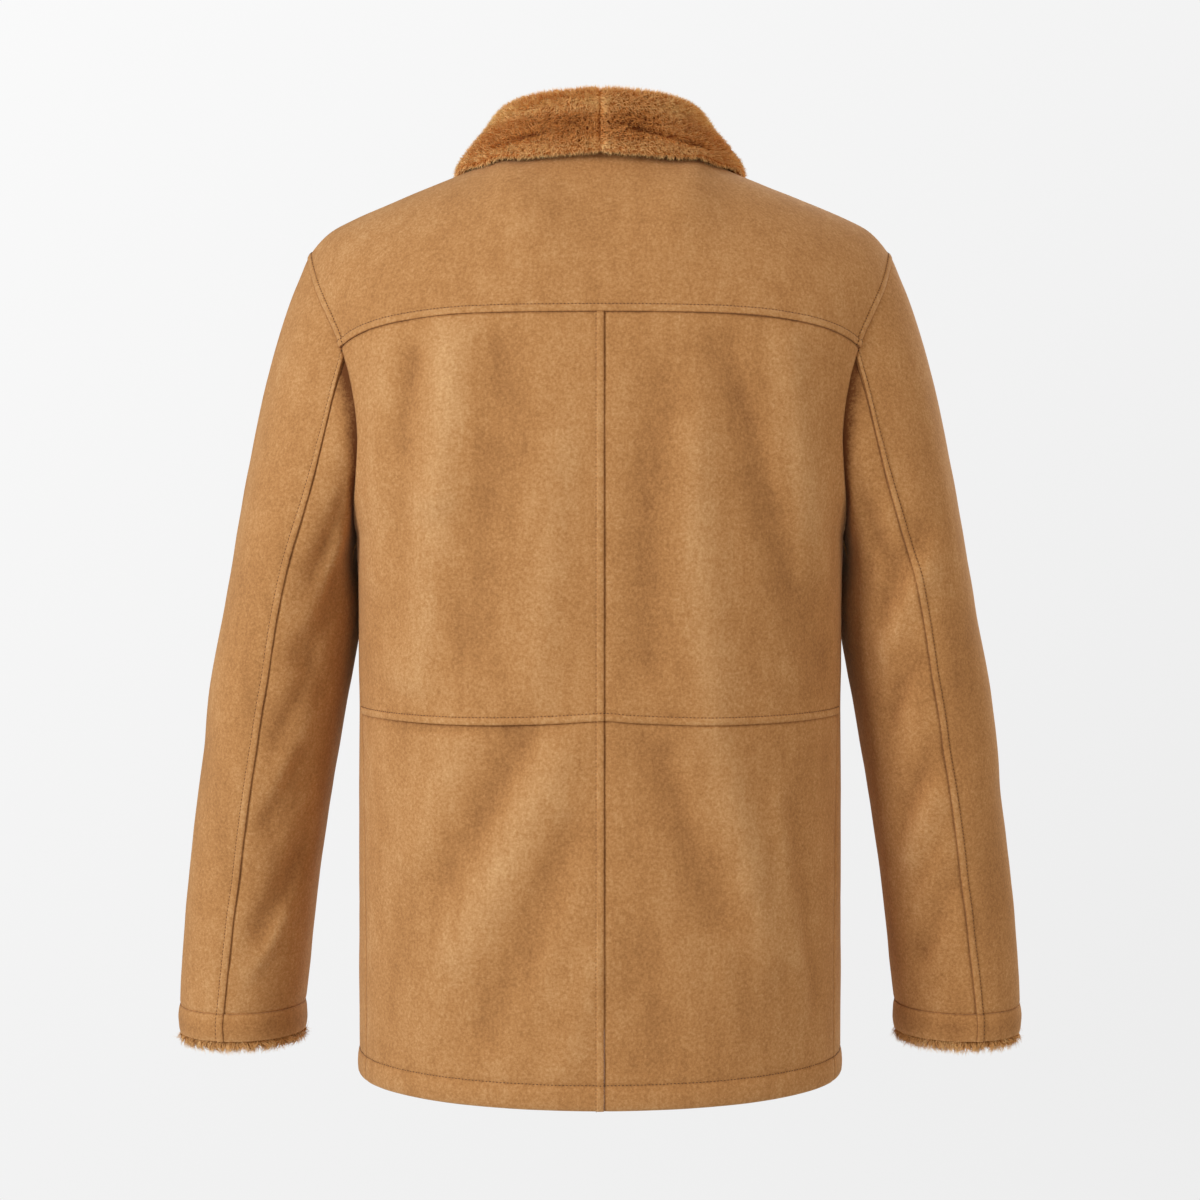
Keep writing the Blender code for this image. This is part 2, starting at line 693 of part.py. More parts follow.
def drawn_in(edge, beside):
    """An edge moved half of the gap toward the line of points beside it, square to itself."""
    along = unit(np.gradient(edge, axis=0))
    inward = beside - edge
    inward = inward - along * np.sum(inward * along, axis=1, keepdims=True)
    return edge + unit(inward) * SEAM_GAP / 2


def trimmed(points, edges):
    """The grid with the named edges drawn in by half of the gap between two pieces."""
    points = points.copy()
    if "bottom" in edges:
        points[0] = drawn_in(points[0], points[1])
    if "top" in edges:
        points[-1] = drawn_in(points[-1], points[-2])
    if "first" in edges:
        points[:, 0] = drawn_in(points[:, 0], points[:, 1])
    if "last" in edges:
        points[:, -1] = drawn_in(points[:, -1], points[:, -2])
    return points


def cloth(name, points, out, lift, side, edges, thickness=WALL):
    """A cloth piece of the given side, from its grid, its outward directions and its lift at each point."""
    points = trimmed(points, edges)
    mirror = np.array([side, 1.0, 1.0])
    thickness = np.broadcast_to(thickness, points.shape[:2])[..., None]
    outer = (points + out * lift[..., None]) * mirror
    inner = (points - out * thickness) * mirror
    return closed_shell(name, outer, inner, SUEDE)


# ---------------------------------------------------------------- pieces


def side_name(side):
    return "left" if side == 1 else "right"


def hem_thickness(row_count):
    """The turned-up hem makes the wall thicker in its lowest rows."""
    thickness = np.full((row_count, 1), WALL)
    thickness[:3] = HEM_WALL
    return thickness


HEM_LIFT = (0.2, 1.2, -0.3)


def armhole_lift(row_count):
    """The edge that laps over the sleeve stands up along the armhole, and lies flat at the underarm."""
    return LAP_HEIGHT * ease((np.arange(row_count) - UNDERARM_ROW - 1) / 3.0)


def make_backs(body, side):
    points, out = body.back[: YOKE_ROW + 1].copy(), body.back_out[: YOKE_ROW + 1]
    points[:, 0, 0] = -side * CENTRE_LAP
    points[:, 1, 0] = CENTRE_LAP if side == 1 else 3 * CENTRE_LAP
    drape = body_drape(points, 1, side)
    points = points + out * drape[..., None]
    lift = np.zeros(points.shape[:2])
    lift[:3] = np.array(HEM_LIFT)[:, None]
    if side == 1:
        lift[:, 0] += LAP_HEIGHT
    lift[:, -1] += armhole_lift(len(points))
    low = slice(0, WAIST_ROW + 1)
    cloth(
        f"back_lower_{side_name(side)}", points[low], out[low], lift[low], side,
        "top first last", hem_thickness(WAIST_ROW + 1),
    )
    high = slice(WAIST_ROW, YOKE_ROW + 1)
    lift[WAIST_ROW] = np.maximum(lift[WAIST_ROW], LAP_HEIGHT)
    cloth(f"back_upper_{side_name(side)}", points[high], out[high], lift[high], side, "bottom top first last")


def make_yoke(body):
    """The yoke is one piece over both shoulders: the right half's columns, mirrored, then the left's."""
    rows = slice(YOKE_ROW, None)
    half, out = body.back[rows], body.back_out[rows]
    lift = np.zeros(half.shape[:2])
    lift[0] = LAP_HEIGHT
    lift[:, -1] = LAP_HEIGHT
    mirror = np.array([-1.0, 1.0, 1.0])
    whole = []
    for side in (-1, 1):
        draped = half + out * body_drape(half, 1, side)[..., None]
        whole.append(draped if side == 1 else (draped * mirror)[:, ::-1])
    points = np.concatenate([whole[0], whole[1][:, 1:]], axis=1)
    outs = np.concatenate([(out * mirror)[:, ::-1], out[:, 1:]], axis=1)
    lifts = np.concatenate([lift[:, ::-1], lift[:, 1:]], axis=1)
    cloth("back_yoke", points, outs, lifts, 1, "bottom top first last")


def front_step(points, side):
    """The left front lies over the right: one is eased outward where they overlap, the other inward."""
    return side * FRONT_STEP * (1 - ease((points[..., 0] - FRONT_OVERLAP) / 45.0))


def make_front(body, side):
    points, out = body.front.copy(), body.front_out
    drape = body_drape(points, -1, side) * ease((points[..., 0] - FRONT_OVERLAP) / 30.0)
    points = points + out * (drape + front_step(points, side))[..., None]
    lift = np.zeros(points.shape[:2])
    clear_of_overlap = ease((points[..., 0] - FRONT_OVERLAP) / 20.0)
    lift[:3] = np.array(HEM_LIFT)[:, None] * (1.0 if side == 1 else clear_of_overlap[:3])
    lift[:, -1] += armhole_lift(len(points))
    folded = WALL + (hem_thickness(len(points)) - WALL) * (clear_of_overlap if side == 1 else 1.0)
    cloth(f"front_{side_name(side)}", points, out, lift, side, "top last", folded)


def make_sleeve(points, out, turn, side):
    draped = points + out * sleeve_drape(points, turn, side)[..., None]
    lift = np.zeros(points.shape[:2])
    lift[:, ELBOW_COLUMN] = LAP_HEIGHT
    whole = np.concatenate([draped, draped[:, :1]], axis=1)
    outs = np.concatenate([out, out[:, :1]], axis=1)
    top, under = slice(ELBOW_COLUMN, None), slice(0, ELBOW_COLUMN + 1)
    lifts = np.concatenate([lift, lift[:, :1]], axis=1)
    edges = "bottom top first last"
    cloth(f"sleeve_top_{side_name(side)}", whole[:, top], outs[:, top], lifts[:, top], side, edges)
    flat = np.zeros_like(lifts[:, under])
    cloth(f"sleeve_under_{side_name(side)}", whole[:, under], outs[:, under], flat, side, edges)


def make_cuff(turn, side):
    """The cuff band: it starts and ends at the elbow seam, where its edge laps over."""
    turn = np.concatenate([turn[ELBOW_COLUMN:], turn[: ELBOW_COLUMN + 1] - 2 * math.pi])
    heights = (CUFF_TOP, CUFF_TOP - 5.0, CUFF_BOTTOM + 5.0, CUFF_BOTTOM)
    bulge = (0.4, CUFF_BULGE, CUFF_BULGE, 0.4)
    points = np.array([sleeve_ring(turn, z) for z in heights])
    out = np.array([ring_normals(turn, z) for z in heights])
    lift = np.array(bulge)[:, None] + np.zeros(points.shape[:2])
    lift[:, 0] += LAP_HEIGHT
    cloth(f"cuff_{side_name(side)}", points, out, lift, side, "bottom first last")


def make_cuff_fur(turn, side):
    """The fur facing inside the cuff, which shows as a rim below the band."""
    inside = -WALL - SEAM_GAP
    pile = inside - CUFF_FUR_PILE
    sections = (
        # height, outer side, inner side: first up inside the band, then swelling out below it
        (CUFF_BOTTOM + CUFF_FUR_RISE, inside, pile),
        (CUFF_BOTTOM - 0.5, inside, pile),
        (CUFF_BOTTOM - 2.5, -1.4, pile),
        (CUFF_BOTTOM - 0.65 * CUFF_FUR_DROP, -1.0, pile + 0.5),
        (CUFF_BOTTOM - CUFF_FUR_DROP, -3.5, pile + 2.5),
    )
    mirror = np.array([side, 1.0, 1.0])
    rings, outs = [], []
    for z, _, _ in sections:
        ring = sleeve_ring(turn, max(z, CUFF_BOTTOM))
        ring[:, 2] = z
        rings.append(ring)
        outs.append(ring_normals(turn, CUFF_BOTTOM))
    rings, outs = np.array(rings), np.array(outs)
    outer = (rings + outs * np.array([row[1] for row in sections])[:, None, None]) * mirror
    inner = (rings + outs * np.array([row[2] for row in sections])[:, None, None]) * mirror
    closed_shell(f"cuff_fur_{side_name(side)}", outer, inner, CUFF_FUR, 1.0, round_columns=True)


def body_surface(body):
    """The outside of half of the body, to measure how far a point lies from it."""
    points, faces = [], []
    for grid, outward in ((body.back, False), (body.front, True)):
        start = len(points)
        rows, columns = grid.shape[:2]
        points += [Vector(point) for point in grid.reshape(-1, 3)]
        for i in range(rows - 1):
            for j in range(columns - 1):
                at = start + i * columns + j
                face = (at, at + 1, at + columns + 1, at + columns)
                faces.append(face if outward else face[::-1])
    return BVHTree.FromPolygons(points, faces)


def lifted_clear(point, surface, least):
    """The point, moved out where it lies nearer to the surface than the given distance."""
    place, normal, _, _ = surface.find_nearest(Vector(point))
    height = (Vector(point) - place).dot(normal)
    return point + np.array(normal) * max(0.0, least - height)


COLLAR_STATIONS = 19
# The middle line starts at the base of the stand, leans in a little, and turns over a round fold.
COLLAR_BASE = np.array([-5.6, 1.0])
STAND_LEAN = np.array([-2.0, 0.0])
FOLD_RADIUS = 6.6
FOLD_STEPS = 5
FOLD_PILE = 10.0
DOWN_FALL = (0.3, 0.6, 0.86, 1.0)
FALL_PILES = (FALL_PILE, FALL_PILE, 0.92 * FALL_PILE, 0.45 * FALL_PILE)
# The ends stop short of centre front, and lie over the lapped fronts from this turn on.
COLLAR_END = 6.0
LAPPED_FRONT_TURN = 120.0


def collar_section(turn):
    """The collar's middle line at one place round the neck, each point's share of the fall, and its pile."""
    fold = np.array([read(COLLAR, "fold_out", "turn", turn), read(COLLAR, "fold_up", "turn", turn)])
    edge = np.array([read(COLLAR, "edge_out", "turn", turn), read(COLLAR, "edge_up", "turn", turn)])
    centre = fold - np.array([0.0, FOLD_RADIUS])
    fall = unit(edge - centre)
    start = math.atan2(fall[0], -fall[1])
    stand_top = centre + np.array([-FOLD_RADIUS, 0.0])
    line = [COLLAR_BASE, (COLLAR_BASE + stand_top) / 2 + STAND_LEAN]
    for amount in np.linspace(0, 1, FOLD_STEPS):
        angle = math.pi + (start - math.pi) * amount
        line.append(centre + FOLD_RADIUS * np.array([math.cos(angle), math.sin(angle)]))
    fall_top = line[-1]
    for amount in DOWN_FALL:
        line.append(fall_top + (edge - fall_top) * amount)
    down_fall = [0.0] * (2 + FOLD_STEPS) + list(DOWN_FALL)
    pile = [STAND_PILE] * 2 + [FOLD_PILE] * FOLD_STEPS + list(FALL_PILES)
    return np.array(line), np.array(down_fall), np.array(pile)


def make_collar(body, side):
    """Half of the collar, from the centre-back seam to the front, as a wall along its middle line."""
    surface = body_surface(body)
    middle_lines, piles = [], []
    for turn in np.linspace(0, 180, COLLAR_STATIONS):
        line, down_fall, pile = collar_section(turn)
        turned = turn - read(COLLAR, "edge_back_turn", "turn", turn) * down_fall
        base_height = neck_point(np.array(float(turn)))[2]
        points = []
        for (out, up), place, share, depth in zip(line, turned, down_fall, pile):
            at = neck_point(np.array(float(place)))
            outward = unit(np.array([at[0] / NECK_HALF_WIDTH**2, at[1] / NECK_HALF_DEPTH**2, 0.0]))
            point = np.array([at[0], at[1], 0.0]) + outward * out
            point[2] = base_height + up
            if share > 0:
                step = FRONT_STEP if place > LAPPED_FRONT_TURN else 0.0
                point = lifted_clear(point, surface, depth / 2 + read(COLLAR, "clear", "turn", turn) + step)
            points.append(point)
        middle_lines.append(points)
        piles.append(pile)
    middle = np.array(middle_lines).transpose(1, 0, 2)
    middle[:, 0, 0] = SEAM_GAP / 2
    middle[:, -1, 0] = np.maximum(middle[:, -1, 0], COLLAR_END)
    pile = np.array(piles).T[..., None]
    out = grid_normals(middle)
    if np.sum(out[-2] * middle[-2]) < 0:
        out = -out
    out[:, 0, 0] = 0.0
    out = unit(out)
    mirror = np.array([side, 1.0, 1.0])
    outer, inner = middle + out * pile / 2, middle - out * pile / 2
    closed_shell(f"collar_{side_name(side)}", outer * mirror, inner * mirror, FUR, 1.0)


def make_button(number, z):
    """A turned button with a rim and a dished middle, standing on the left front at centre front."""
    name = f"button_{number}"
    radius = BUTTON_WIDTH / 2
    profile = (
        # radius, height
        (0.80 * radius, 0.0),
        (0.97 * radius, 0.8),
        (radius, 1.9),
        (0.95 * radius, BUTTON_HEIGHT - 0.7),
        (0.84 * radius, BUTTON_HEIGHT),
        (0.70 * radius, BUTTON_HEIGHT - 0.5),
        (0.58 * radius, BUTTON_HEIGHT - 1.5),
    )
    mesh = bmesh.new()
    rings = []
    for reach, height in profile:
        ring = []
        for step in range(BUTTON_SIDES):
            angle = 2 * math.pi * step / BUTTON_SIDES
            place = Vector((reach * math.cos(angle), reach * math.sin(angle), height))
            ring.append(mesh.verts.new(place * MILLIMETRE))
        rings.append(ring)
    for low, high in zip(rings, rings[1:]):
        for step in range(BUTTON_SIDES):
            after = (step + 1) % BUTTON_SIDES
            mesh.faces.new((low[step], low[after], high[after], high[step]))
    mesh.faces.new(rings[0][::-1])
    mesh.faces.new(rings[-1])
    bmesh.ops.recalc_face_normals(mesh, faces=mesh.faces)
    piece = finished(name, mesh, HORN, 0.35)
    centre_front = np.array(math.pi)
    front = body_point(centre_front, np.array(z))
    slope = body_point(centre_front, np.array(z + 5.0)) - body_point(centre_front, np.array(z - 5.0))
    outward = Vector((0.0, -slope[2], slope[1])).normalized()
    place = Vector(front) + outward * (FRONT_STEP + SEAM_GAP)
    turn = Vector((0, 0, 1)).rotation_difference(outward)
    piece.matrix_world = Matrix.Translation(place * MILLIMETRE) @ turn.to_matrix().to_4x4()


def main():
    for thing in list(bpy.data.objects):
        bpy.data.objects.remove(thing)
    body = HalfBody()
    below = np.zeros(UNDERARM_ROW)
    lengths = body.armhole_ring(np.concatenate([below, BACK_ARM]), np.concatenate([below, FRONT_ARM]))
    turn = sleeve_turns(lengths)
    sleeve = sleeve_grid(lengths)
    sleeve_out = grid_normals(sleeve, round_columns=True)
    sleeve_out = facing_out(sleeve_out, sleeve, sleeve.mean(axis=1, keepdims=True))
    sleeve_out[-1] = ring_normals(turn, CUFF_TOP)
    ring = sleeve[0]
    inward = body.armhole_ring(body.back[:, -2] - body.back[:, -1], body.front[:, -2] - body.front[:, -1])
    body_out = body.armhole_ring(body.back_out[:, -1], body.front_out[:, -1])
    mitre = mitre_directions(ring, inward, body_out, sleeve[1] - sleeve[0], sleeve_out[0])
    body.set_mitre(mitre)
    sleeve_out[0] = mitre
    make_yoke(body)
    for side in (1, -1):
        make_backs(body, side)
        make_front(body, side)
        make_sleeve(sleeve, sleeve_out, turn, side)
        make_cuff(turn, side)
        make_cuff_fur(turn, side)
        make_collar(body, side)
    for number in range(BUTTON_COUNT):
        make_button(number + 1, FIRST_BUTTON - BUTTON_SPACING * number)


main()
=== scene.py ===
# %% [markdown]
# # A faux shearling jacket
# The jacket is shown filled out, as if worn by nobody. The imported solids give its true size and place, as
# plain walls of few faces. Here every wall is made again as a finer cloth shell on the same form, with its
# laps, creases, stitches, nap and fur. The camera looks at the back, as the photograph does.

# %% Load the frame
import math
from types import SimpleNamespace

import bmesh
import bpy
import numpy as np
from mathutils import Matrix, Vector, noise
from mathutils.bvhtree import BVHTree


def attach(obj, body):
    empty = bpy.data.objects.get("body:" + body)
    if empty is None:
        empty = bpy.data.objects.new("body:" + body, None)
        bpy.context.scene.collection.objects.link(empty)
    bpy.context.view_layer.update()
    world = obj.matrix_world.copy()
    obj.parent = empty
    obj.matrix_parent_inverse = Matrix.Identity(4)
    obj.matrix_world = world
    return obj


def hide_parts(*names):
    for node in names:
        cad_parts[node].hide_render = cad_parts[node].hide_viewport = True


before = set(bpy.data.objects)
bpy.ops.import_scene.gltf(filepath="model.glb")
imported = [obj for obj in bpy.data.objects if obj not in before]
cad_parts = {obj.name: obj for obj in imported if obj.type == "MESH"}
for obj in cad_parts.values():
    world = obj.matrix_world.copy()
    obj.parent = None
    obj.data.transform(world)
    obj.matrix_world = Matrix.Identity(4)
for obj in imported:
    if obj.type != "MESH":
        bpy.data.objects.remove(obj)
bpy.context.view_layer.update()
MILLIMETRE = 0.001
SIDES = ((1, "left"), (-1, "right"))
print("solids in the frame:", len(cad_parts))

# %% [markdown]
# ## Studio
# A jacket that hangs in the air needs only a pale sweep round it, so that no horizon cuts the picture. The
# sweep is one curved sheet: a floor that turns up into a wall at both ends. A studio lights such a backdrop
# by itself, apart from the garment, so its paint shows an even pale tone of its own and gives the cloth only
# a weak fill. A large soft light stands on the wearer's left, a little above the jacket, which rounds the
# sleeves and lifts the folds. A weak warm one fills the far side, and another light shows the front.

# %% Camera, sweep and lights
CAMERA_DISTANCE = 1.62
VIEW_HALF_HEIGHT = 0.5076
VIEW_CENTRE_HEIGHT = -0.376
JACKET_MIDDLE = (0.0, 0.0, -0.4)
SWEEP_RADIUS, SWEEP_FLOOR, SWEEP_WALL, SWEEP_TOP, SWEEP_HALF_WIDTH = 1.2, -1.35, 3.4, 3.2, 5.0


def add_object(name, data):
    """A new object with the given data, linked into the scene."""
    thing = bpy.data.objects.new(name, data)
    bpy.context.scene.collection.objects.link(thing)
    return thing


def add_node(tree, kind, inputs=None, **settings):
    """A node with its settings, and each named or numbered input set to a value or joined to a socket."""
    made = tree.nodes.new(kind)
    for key, value in settings.items():
        setattr(made, key, value)
    for key, value in (inputs or {}).items():
        if isinstance(value, bpy.types.NodeSocket):
            tree.links.new(value, made.inputs[key])
        else:
            made.inputs[key].default_value = value
    return made


def add_camera():
    lens = bpy.data.cameras.new("camera")
    lens.angle = 2 * math.atan(VIEW_HALF_HEIGHT / CAMERA_DISTANCE)
    lens.clip_start = 0.05
    camera = add_object("camera", lens)
    camera.location = (0.0, CAMERA_DISTANCE, VIEW_CENTRE_HEIGHT)
    camera.rotation_euler = (math.pi / 2, 0.0, math.pi)
    bpy.context.scene.camera = camera


def sweep_paint():
    """Pale paint that glows to the camera, brighter up and to the lamp's side as painted light, and is a weak
    fill.
    """
    paint = bpy.data.materials.new("sweep_paint")
    paint.use_nodes = True
    tree = paint.node_tree
    shader = tree.nodes["Principled BSDF"]
    shader.inputs["Base Color"].default_value = (0.5, 0.5, 0.5, 1.0)
    shader.inputs["Roughness"].default_value = 1.0
    place = add_node(tree, "ShaderNodeTexCoord").outputs["Object"]
    # Painted light: the glow rises a little toward the lamp's side and upward.
    painted_lamp_falloff = add_node(tree, "ShaderNodeVectorMath", {0: place, 1: (0.018, 0.0, 0.022)}, operation="DOT_PRODUCT")
    level = add_node(tree, "ShaderNodeMath", {0: painted_lamp_falloff.outputs["Value"], 1: 0.90}, use_clamp=True)
    glow = add_node(tree, "ShaderNodeEmission", {"Strength": level.outputs[0]})
    seen = add_node(tree, "ShaderNodeLightPath").outputs["Is Camera Ray"]
    mix = add_node(tree, "ShaderNodeMixShader", {0: seen, 1: shader.outputs[0], 2: glow.outputs[0]})
    tree.links.new(mix.outputs[0], tree.nodes["Material Output"].inputs["Surface"])
    return paint


def add_sweep():
    """A pale floor that turns up into a wall, past the jacket and round behind the camera."""
    radius = SWEEP_RADIUS
    profile = [(-SWEEP_WALL, SWEEP_TOP)]
    for step in range(13):
        angle = math.pi + math.pi / 2 * step / 12
        y = -SWEEP_WALL + radius + radius * math.cos(angle)
        profile.append((y, SWEEP_FLOOR + radius + radius * math.sin(angle)))
    profile += [(-y, z) for y, z in profile[::-1]]
    mesh = bmesh.new()
    sides = (-SWEEP_HALF_WIDTH, SWEEP_HALF_WIDTH)
    lines = [[mesh.verts.new((x, y, z)) for y, z in profile] for x in sides]
    for step in range(len(profile) - 1):
        mesh.faces.new((lines[0][step], lines[1][step], lines[1][step + 1], lines[0][step + 1]))
    data = bpy.data.meshes.new("sweep")
    mesh.to_mesh(data)
    mesh.free()
    data.shade_smooth()
    data.materials.append(sweep_paint())
    add_object("sweep", data)


def add_light(name, place, size, power, colour):
    """A soft square light that faces the middle of the jacket."""
    lamp = bpy.data.lights.new(name, "AREA")
    lamp.size = size
    lamp.energy = power
    lamp.color = colour
    light = add_object(name, lamp)
    light.location = place
    direction = Vector(place) - Vector(JACKET_MIDDLE)
    light.rotation_euler = direction.to_track_quat("Z", "Y").to_euler()


add_camera()
add_sweep()
add_light("key", (2.45, 2.1, 0.45), size=1.3, power=78.0, colour=(1.0, 1.0, 0.985))
add_light("fill", (-2.3, 1.7, 0.5), size=2.0, power=22.0, colour=(1.0, 0.82, 0.60))
add_light("front_key", (-1.6, -2.6, 1.1), size=1.8, power=62.0, colour=(1.0, 0.985, 0.96))
world = bpy.data.worlds.new("studio")
world.use_nodes = True
world.node_tree.nodes["Background"].inputs["Color"].default_value = (1.0, 0.93, 0.85, 1.0)
world.node_tree.nodes["Background"].inputs["Strength"].default_value = 0.46
bpy.context.scene.world = world
bpy.context.scene.view_settings.view_transform = "Standard"
print("camera, sweep and three lights")

# %% [markdown]
# ## Sizes
# The tables give the jacket as a cutter would measure it: level sections of the body and of the sleeve, the
# run of the armhole, and the height of the neck and shoulder seams. All are millimetres, and the same as in
# the solids, so that the cloth lies on them with no fitting. They are for the wearer's left half.

# %% Tables of the body and sleeve
HEM, WAIST_SEAM, UNDERARM, YOKE_SEAM, CHEST_LINE = -771.0, -470.0, -325.0, -151.0, -168.0
HEM_DEPTH = 20.0
WALL, HEM_WALL = 4.0, 6.5
SEAM_GAP = 0.3
WAIST_SAG, WAIST_SAG_REACH = 4.0, 80.0
LAP_WIDTH = 7.5
CENTRE_LAP = 3.2
FRONT_OVERLAP, FRONT_STEP = 28.0, 2.5
NECK_HALF_WIDTH, NECK_HALF_DEPTH = 88.0, 78.0
SHOULDER_SEAM_TURN = 98.0
SLEEVE_TOP, CUFF_TOP, CUFF_BOTTOM = -385.0, -722.0, -745.0
ELBOW_SEAM_TURN, INSEAM_TURN = 72.0, 162.0


def table(columns, rows):
    """A short table: the name of each column, with its values down the rows."""
    return dict(zip(columns.split(), np.array(rows, float).T))


BODY = table(
    "z half_width back front square",
    [
        (-771, 203.0, 142, 150, 2.05),
        (-620, 202.5, 141, 151, 2.1),
        (-470, 202.5, 137, 147, 2.2),
        (-325, 203.5, 139, 142, 2.4),
        (-260, 205.0, 139, 136, 2.55),
        (-210, 208.5, 136, 128, 2.5),
        (-168, 219.0, 131, 117, 2.4),
        (-140, 229.0, 126, 108, 2.3),
    ],
)
SIDE_SEAM = table("z y", [(-771, 48), (-600, 46), (-470, 38), (-390, 22), (-325, 12)])
NECK = table(
    "turn z",
    [(-45, -11), (0, -13), (45, -11), (90, -9), (112, -15), (135, -37), (160, -68), (180, -80), (200, -68)],
)
SHOULDER = table(
    "x z",
    [(88, -9.5), (128, -25.5), (161, -37.5), (194, -50), (209, -55.7), (224, -62.5), (238, -72.5), (248, -85)],
)
ARMHOLE_PLACES = (
    # place, x, y, z
    ("underarm", 204.0, 12, -325),
    ("back low", 201.5, 55, -301),
    ("back notch", 196.5, 74, -240),
    ("back blade", 200.5, 71, -208),
    ("yoke corner", 211.0, 62, -171),
    ("back high", 235.0, 34, -120),
    ("shoulder", 248.0, -12, -85),
    ("front high", 236.0, -52, -122),
    ("front upper", 212.0, -75, -172),
    ("front notch", 197.5, -81, -236),
    ("front low", 201.5, -50, -301),
)
SLEEVE_LINES = (
    # place on the armhole, turn round the sleeve
    ("underarm", INSEAM_TURN),
    ("yoke corner", ELBOW_SEAM_TURN),
    ("shoulder", -4.0),
    ("front upper", -72.0),
    ("underarm", INSEAM_TURN - 360.0),
)
SLEEVE = table(
    "z centre_x centre_y half_width half_depth",
    [
        (-752, 307.6, -33, 53.2, 54),
        (-722, 307.6, -32, 53.2, 54),
        (-703, 306.0, -31, 54.2, 55),
        (-668, 302.6, -28, 54.6, 57),
        (-599, 294.5, -22, 55.4, 61),
        (-547, 287.3, -17, 56.4, 65),
        (-461, 274.3, -14, 58.4, 72),
        (-427, 268.4, -14, 58.8, 75),
        (-385, 262.4, -14, 57.0, 78),
    ],
)
print("body from", HEM, "to", YOKE_SEAM, "mm, sleeve to", CUFF_BOTTOM, "mm")

# %% [markdown]
# ## Curves
# A garment's seams are smooth lines through a few measured places. A Hermite curve leaves and arrives along
# chosen directions, so one helper serves the tables, the armhole, the shoulder and the sleeve.

# %% Smooth curves and sections


def unit(vectors):
    """Directions of length one."""
    return vectors / np.linalg.norm(vectors, axis=-1, keepdims=True)


def ease(amount):
    """Nought up to 0, one from 1 on, with no corner between."""
    amount = np.clip(amount, 0.0, 1.0)
    return amount * amount * (3.0 - 2.0 * amount)


def fade(distance, reach, power=2):
    """One on a line, and smoothly down to nought a few reaches away from it."""
    return np.exp(-((distance / reach) ** power))


def hermite(start, end, leave, arrive, amount):
    """A curve from start to end that leaves and arrives along the given directions."""
    square, cube = amount**2, amount**3
    return (
        (2 * cube - 3 * square + 1) * start
        + (cube - 2 * square + amount) * leave
        + (3 * square - 2 * cube) * end
        + (cube - square) * arrive
    )


def smooth_values(places, values, at):
    """Values given at a few places, read smoothly at any others. Values may have more than one axis."""
    slopes = np.gradient(values, places, axis=0)
    at = np.clip(at, places[0], places[-1])
    low = np.clip(np.searchsorted(places, at, side="right") - 1, 0, len(places) - 2)
    extra = (1,) * (values.ndim - 1)
    span = (places[low + 1] - places[low]).reshape(np.shape(low) + extra)
    amount = (at - places[low]).reshape(np.shape(low) + extra) / span
    return hermite(values[low], values[low + 1], slopes[low] * span, slopes[low + 1] * span, amount)


def read(rows, column, along, at):
    """One column of a table, read smoothly along another."""
    return smooth_values(rows[along], rows[column], np.asarray(at, float))


def spread(stops, counts):
    """Numbers from stop to stop, with the given count of even steps between each two."""
    found = [stops[0]]
    for start, end, count in zip(stops, stops[1:], counts):
        found += [start + (end - start) * step / count for step in range(1, count + 1)]
    return np.array(found)


def lengths_along(points):
    """How far each point lies along the line from its first point."""
    return np.concatenate([[0.0], np.cumsum(np.linalg.norm(np.diff(points, axis=0), axis=1))])


def resample(points, places):
    """The points of a line at the given lengths along it."""
    along = lengths_along(points)
    return np.stack([np.interp(places, along, points[:, axis]) for axis in range(3)], axis=-1)


def body_point(turn, z):
    """A point of the body below the yoke, by its turn from centre back round the side, in radians."""
    half_width, square = read(BODY, "half_width", "z", z), read(BODY, "square", "z", z)
    depth = np.where(np.cos(turn) > 0, read(BODY, "back", "z", z), read(BODY, "front", "z", z))
    across, along = np.abs(np.sin(turn) / half_width), np.abs(np.cos(turn) / depth)
    reach = (across**square + along**square) ** (-1 / square)
    return np.stack([reach * np.sin(turn), reach * np.cos(turn), z + 0 * turn], axis=-1)


def side_seam_point(z):
    """The body's point at a height whose depth is the side seam's, found by halving."""
    y = read(SIDE_SEAM, "y", "z", z)
    low, high = 0.0, math.pi / 2
    for _ in range(40):
        middle = (low + high) / 2
        low, high = (middle, high) if body_point(middle, z)[1] > y else (low, middle)
    return body_point(low, z)


class Armhole:
    """The closed line through the armhole's places, read by length from the underarm up the back."""

    def __init__(self):
        points = np.array([place[1:] for place in ARMHOLE_PLACES], float)
        around = np.vstack([points, points, points, points[:1]])
        along = lengths_along(around)
        count = len(points)
        self.length = along[count]
        self.along, self.around = along - along[count], around
        starts = self.along[count : 2 * count]
        self.at = {place[0]: start for place, start in zip(ARMHOLE_PLACES, starts)}

    def point(self, length):
        return smooth_values(self.along, self.around, np.asarray(length, float) % self.length)

    def heading(self, length):
        return unit(self.point(length + 0.5) - self.point(length - 0.5))


ARMHOLE = Armhole()


def neck_point(turn):
    """A point of the neck seam, by its turn in degrees from centre back."""
    angle = np.radians(turn)
    height = read(NECK, "z", "turn", np.where(turn > 180, 360 - turn, turn))
    return np.stack([NECK_HALF_WIDTH * np.sin(angle), NECK_HALF_DEPTH * np.cos(angle), height], axis=-1)


FINE_STEPS = 90


def shoulder_line():
    """The shoulder seam, from the neck to the armhole."""
    start, end = neck_point(np.array(SHOULDER_SEAM_TURN)), ARMHOLE.point(ARMHOLE.at["shoulder"])
    x = np.linspace(start[0], end[0], FINE_STEPS)
    amount = (x - start[0]) / (end[0] - start[0])
    height = read(SHOULDER, "z", "x", x)
    height += (1 - amount) * (start[2] - height[0]) + amount * (end[2] - height[-1])
    return np.stack([x, start[1] + (end[1] - start[1]) * amount, height], axis=-1)


print("armhole length", round(float(ARMHOLE.length)), "mm")

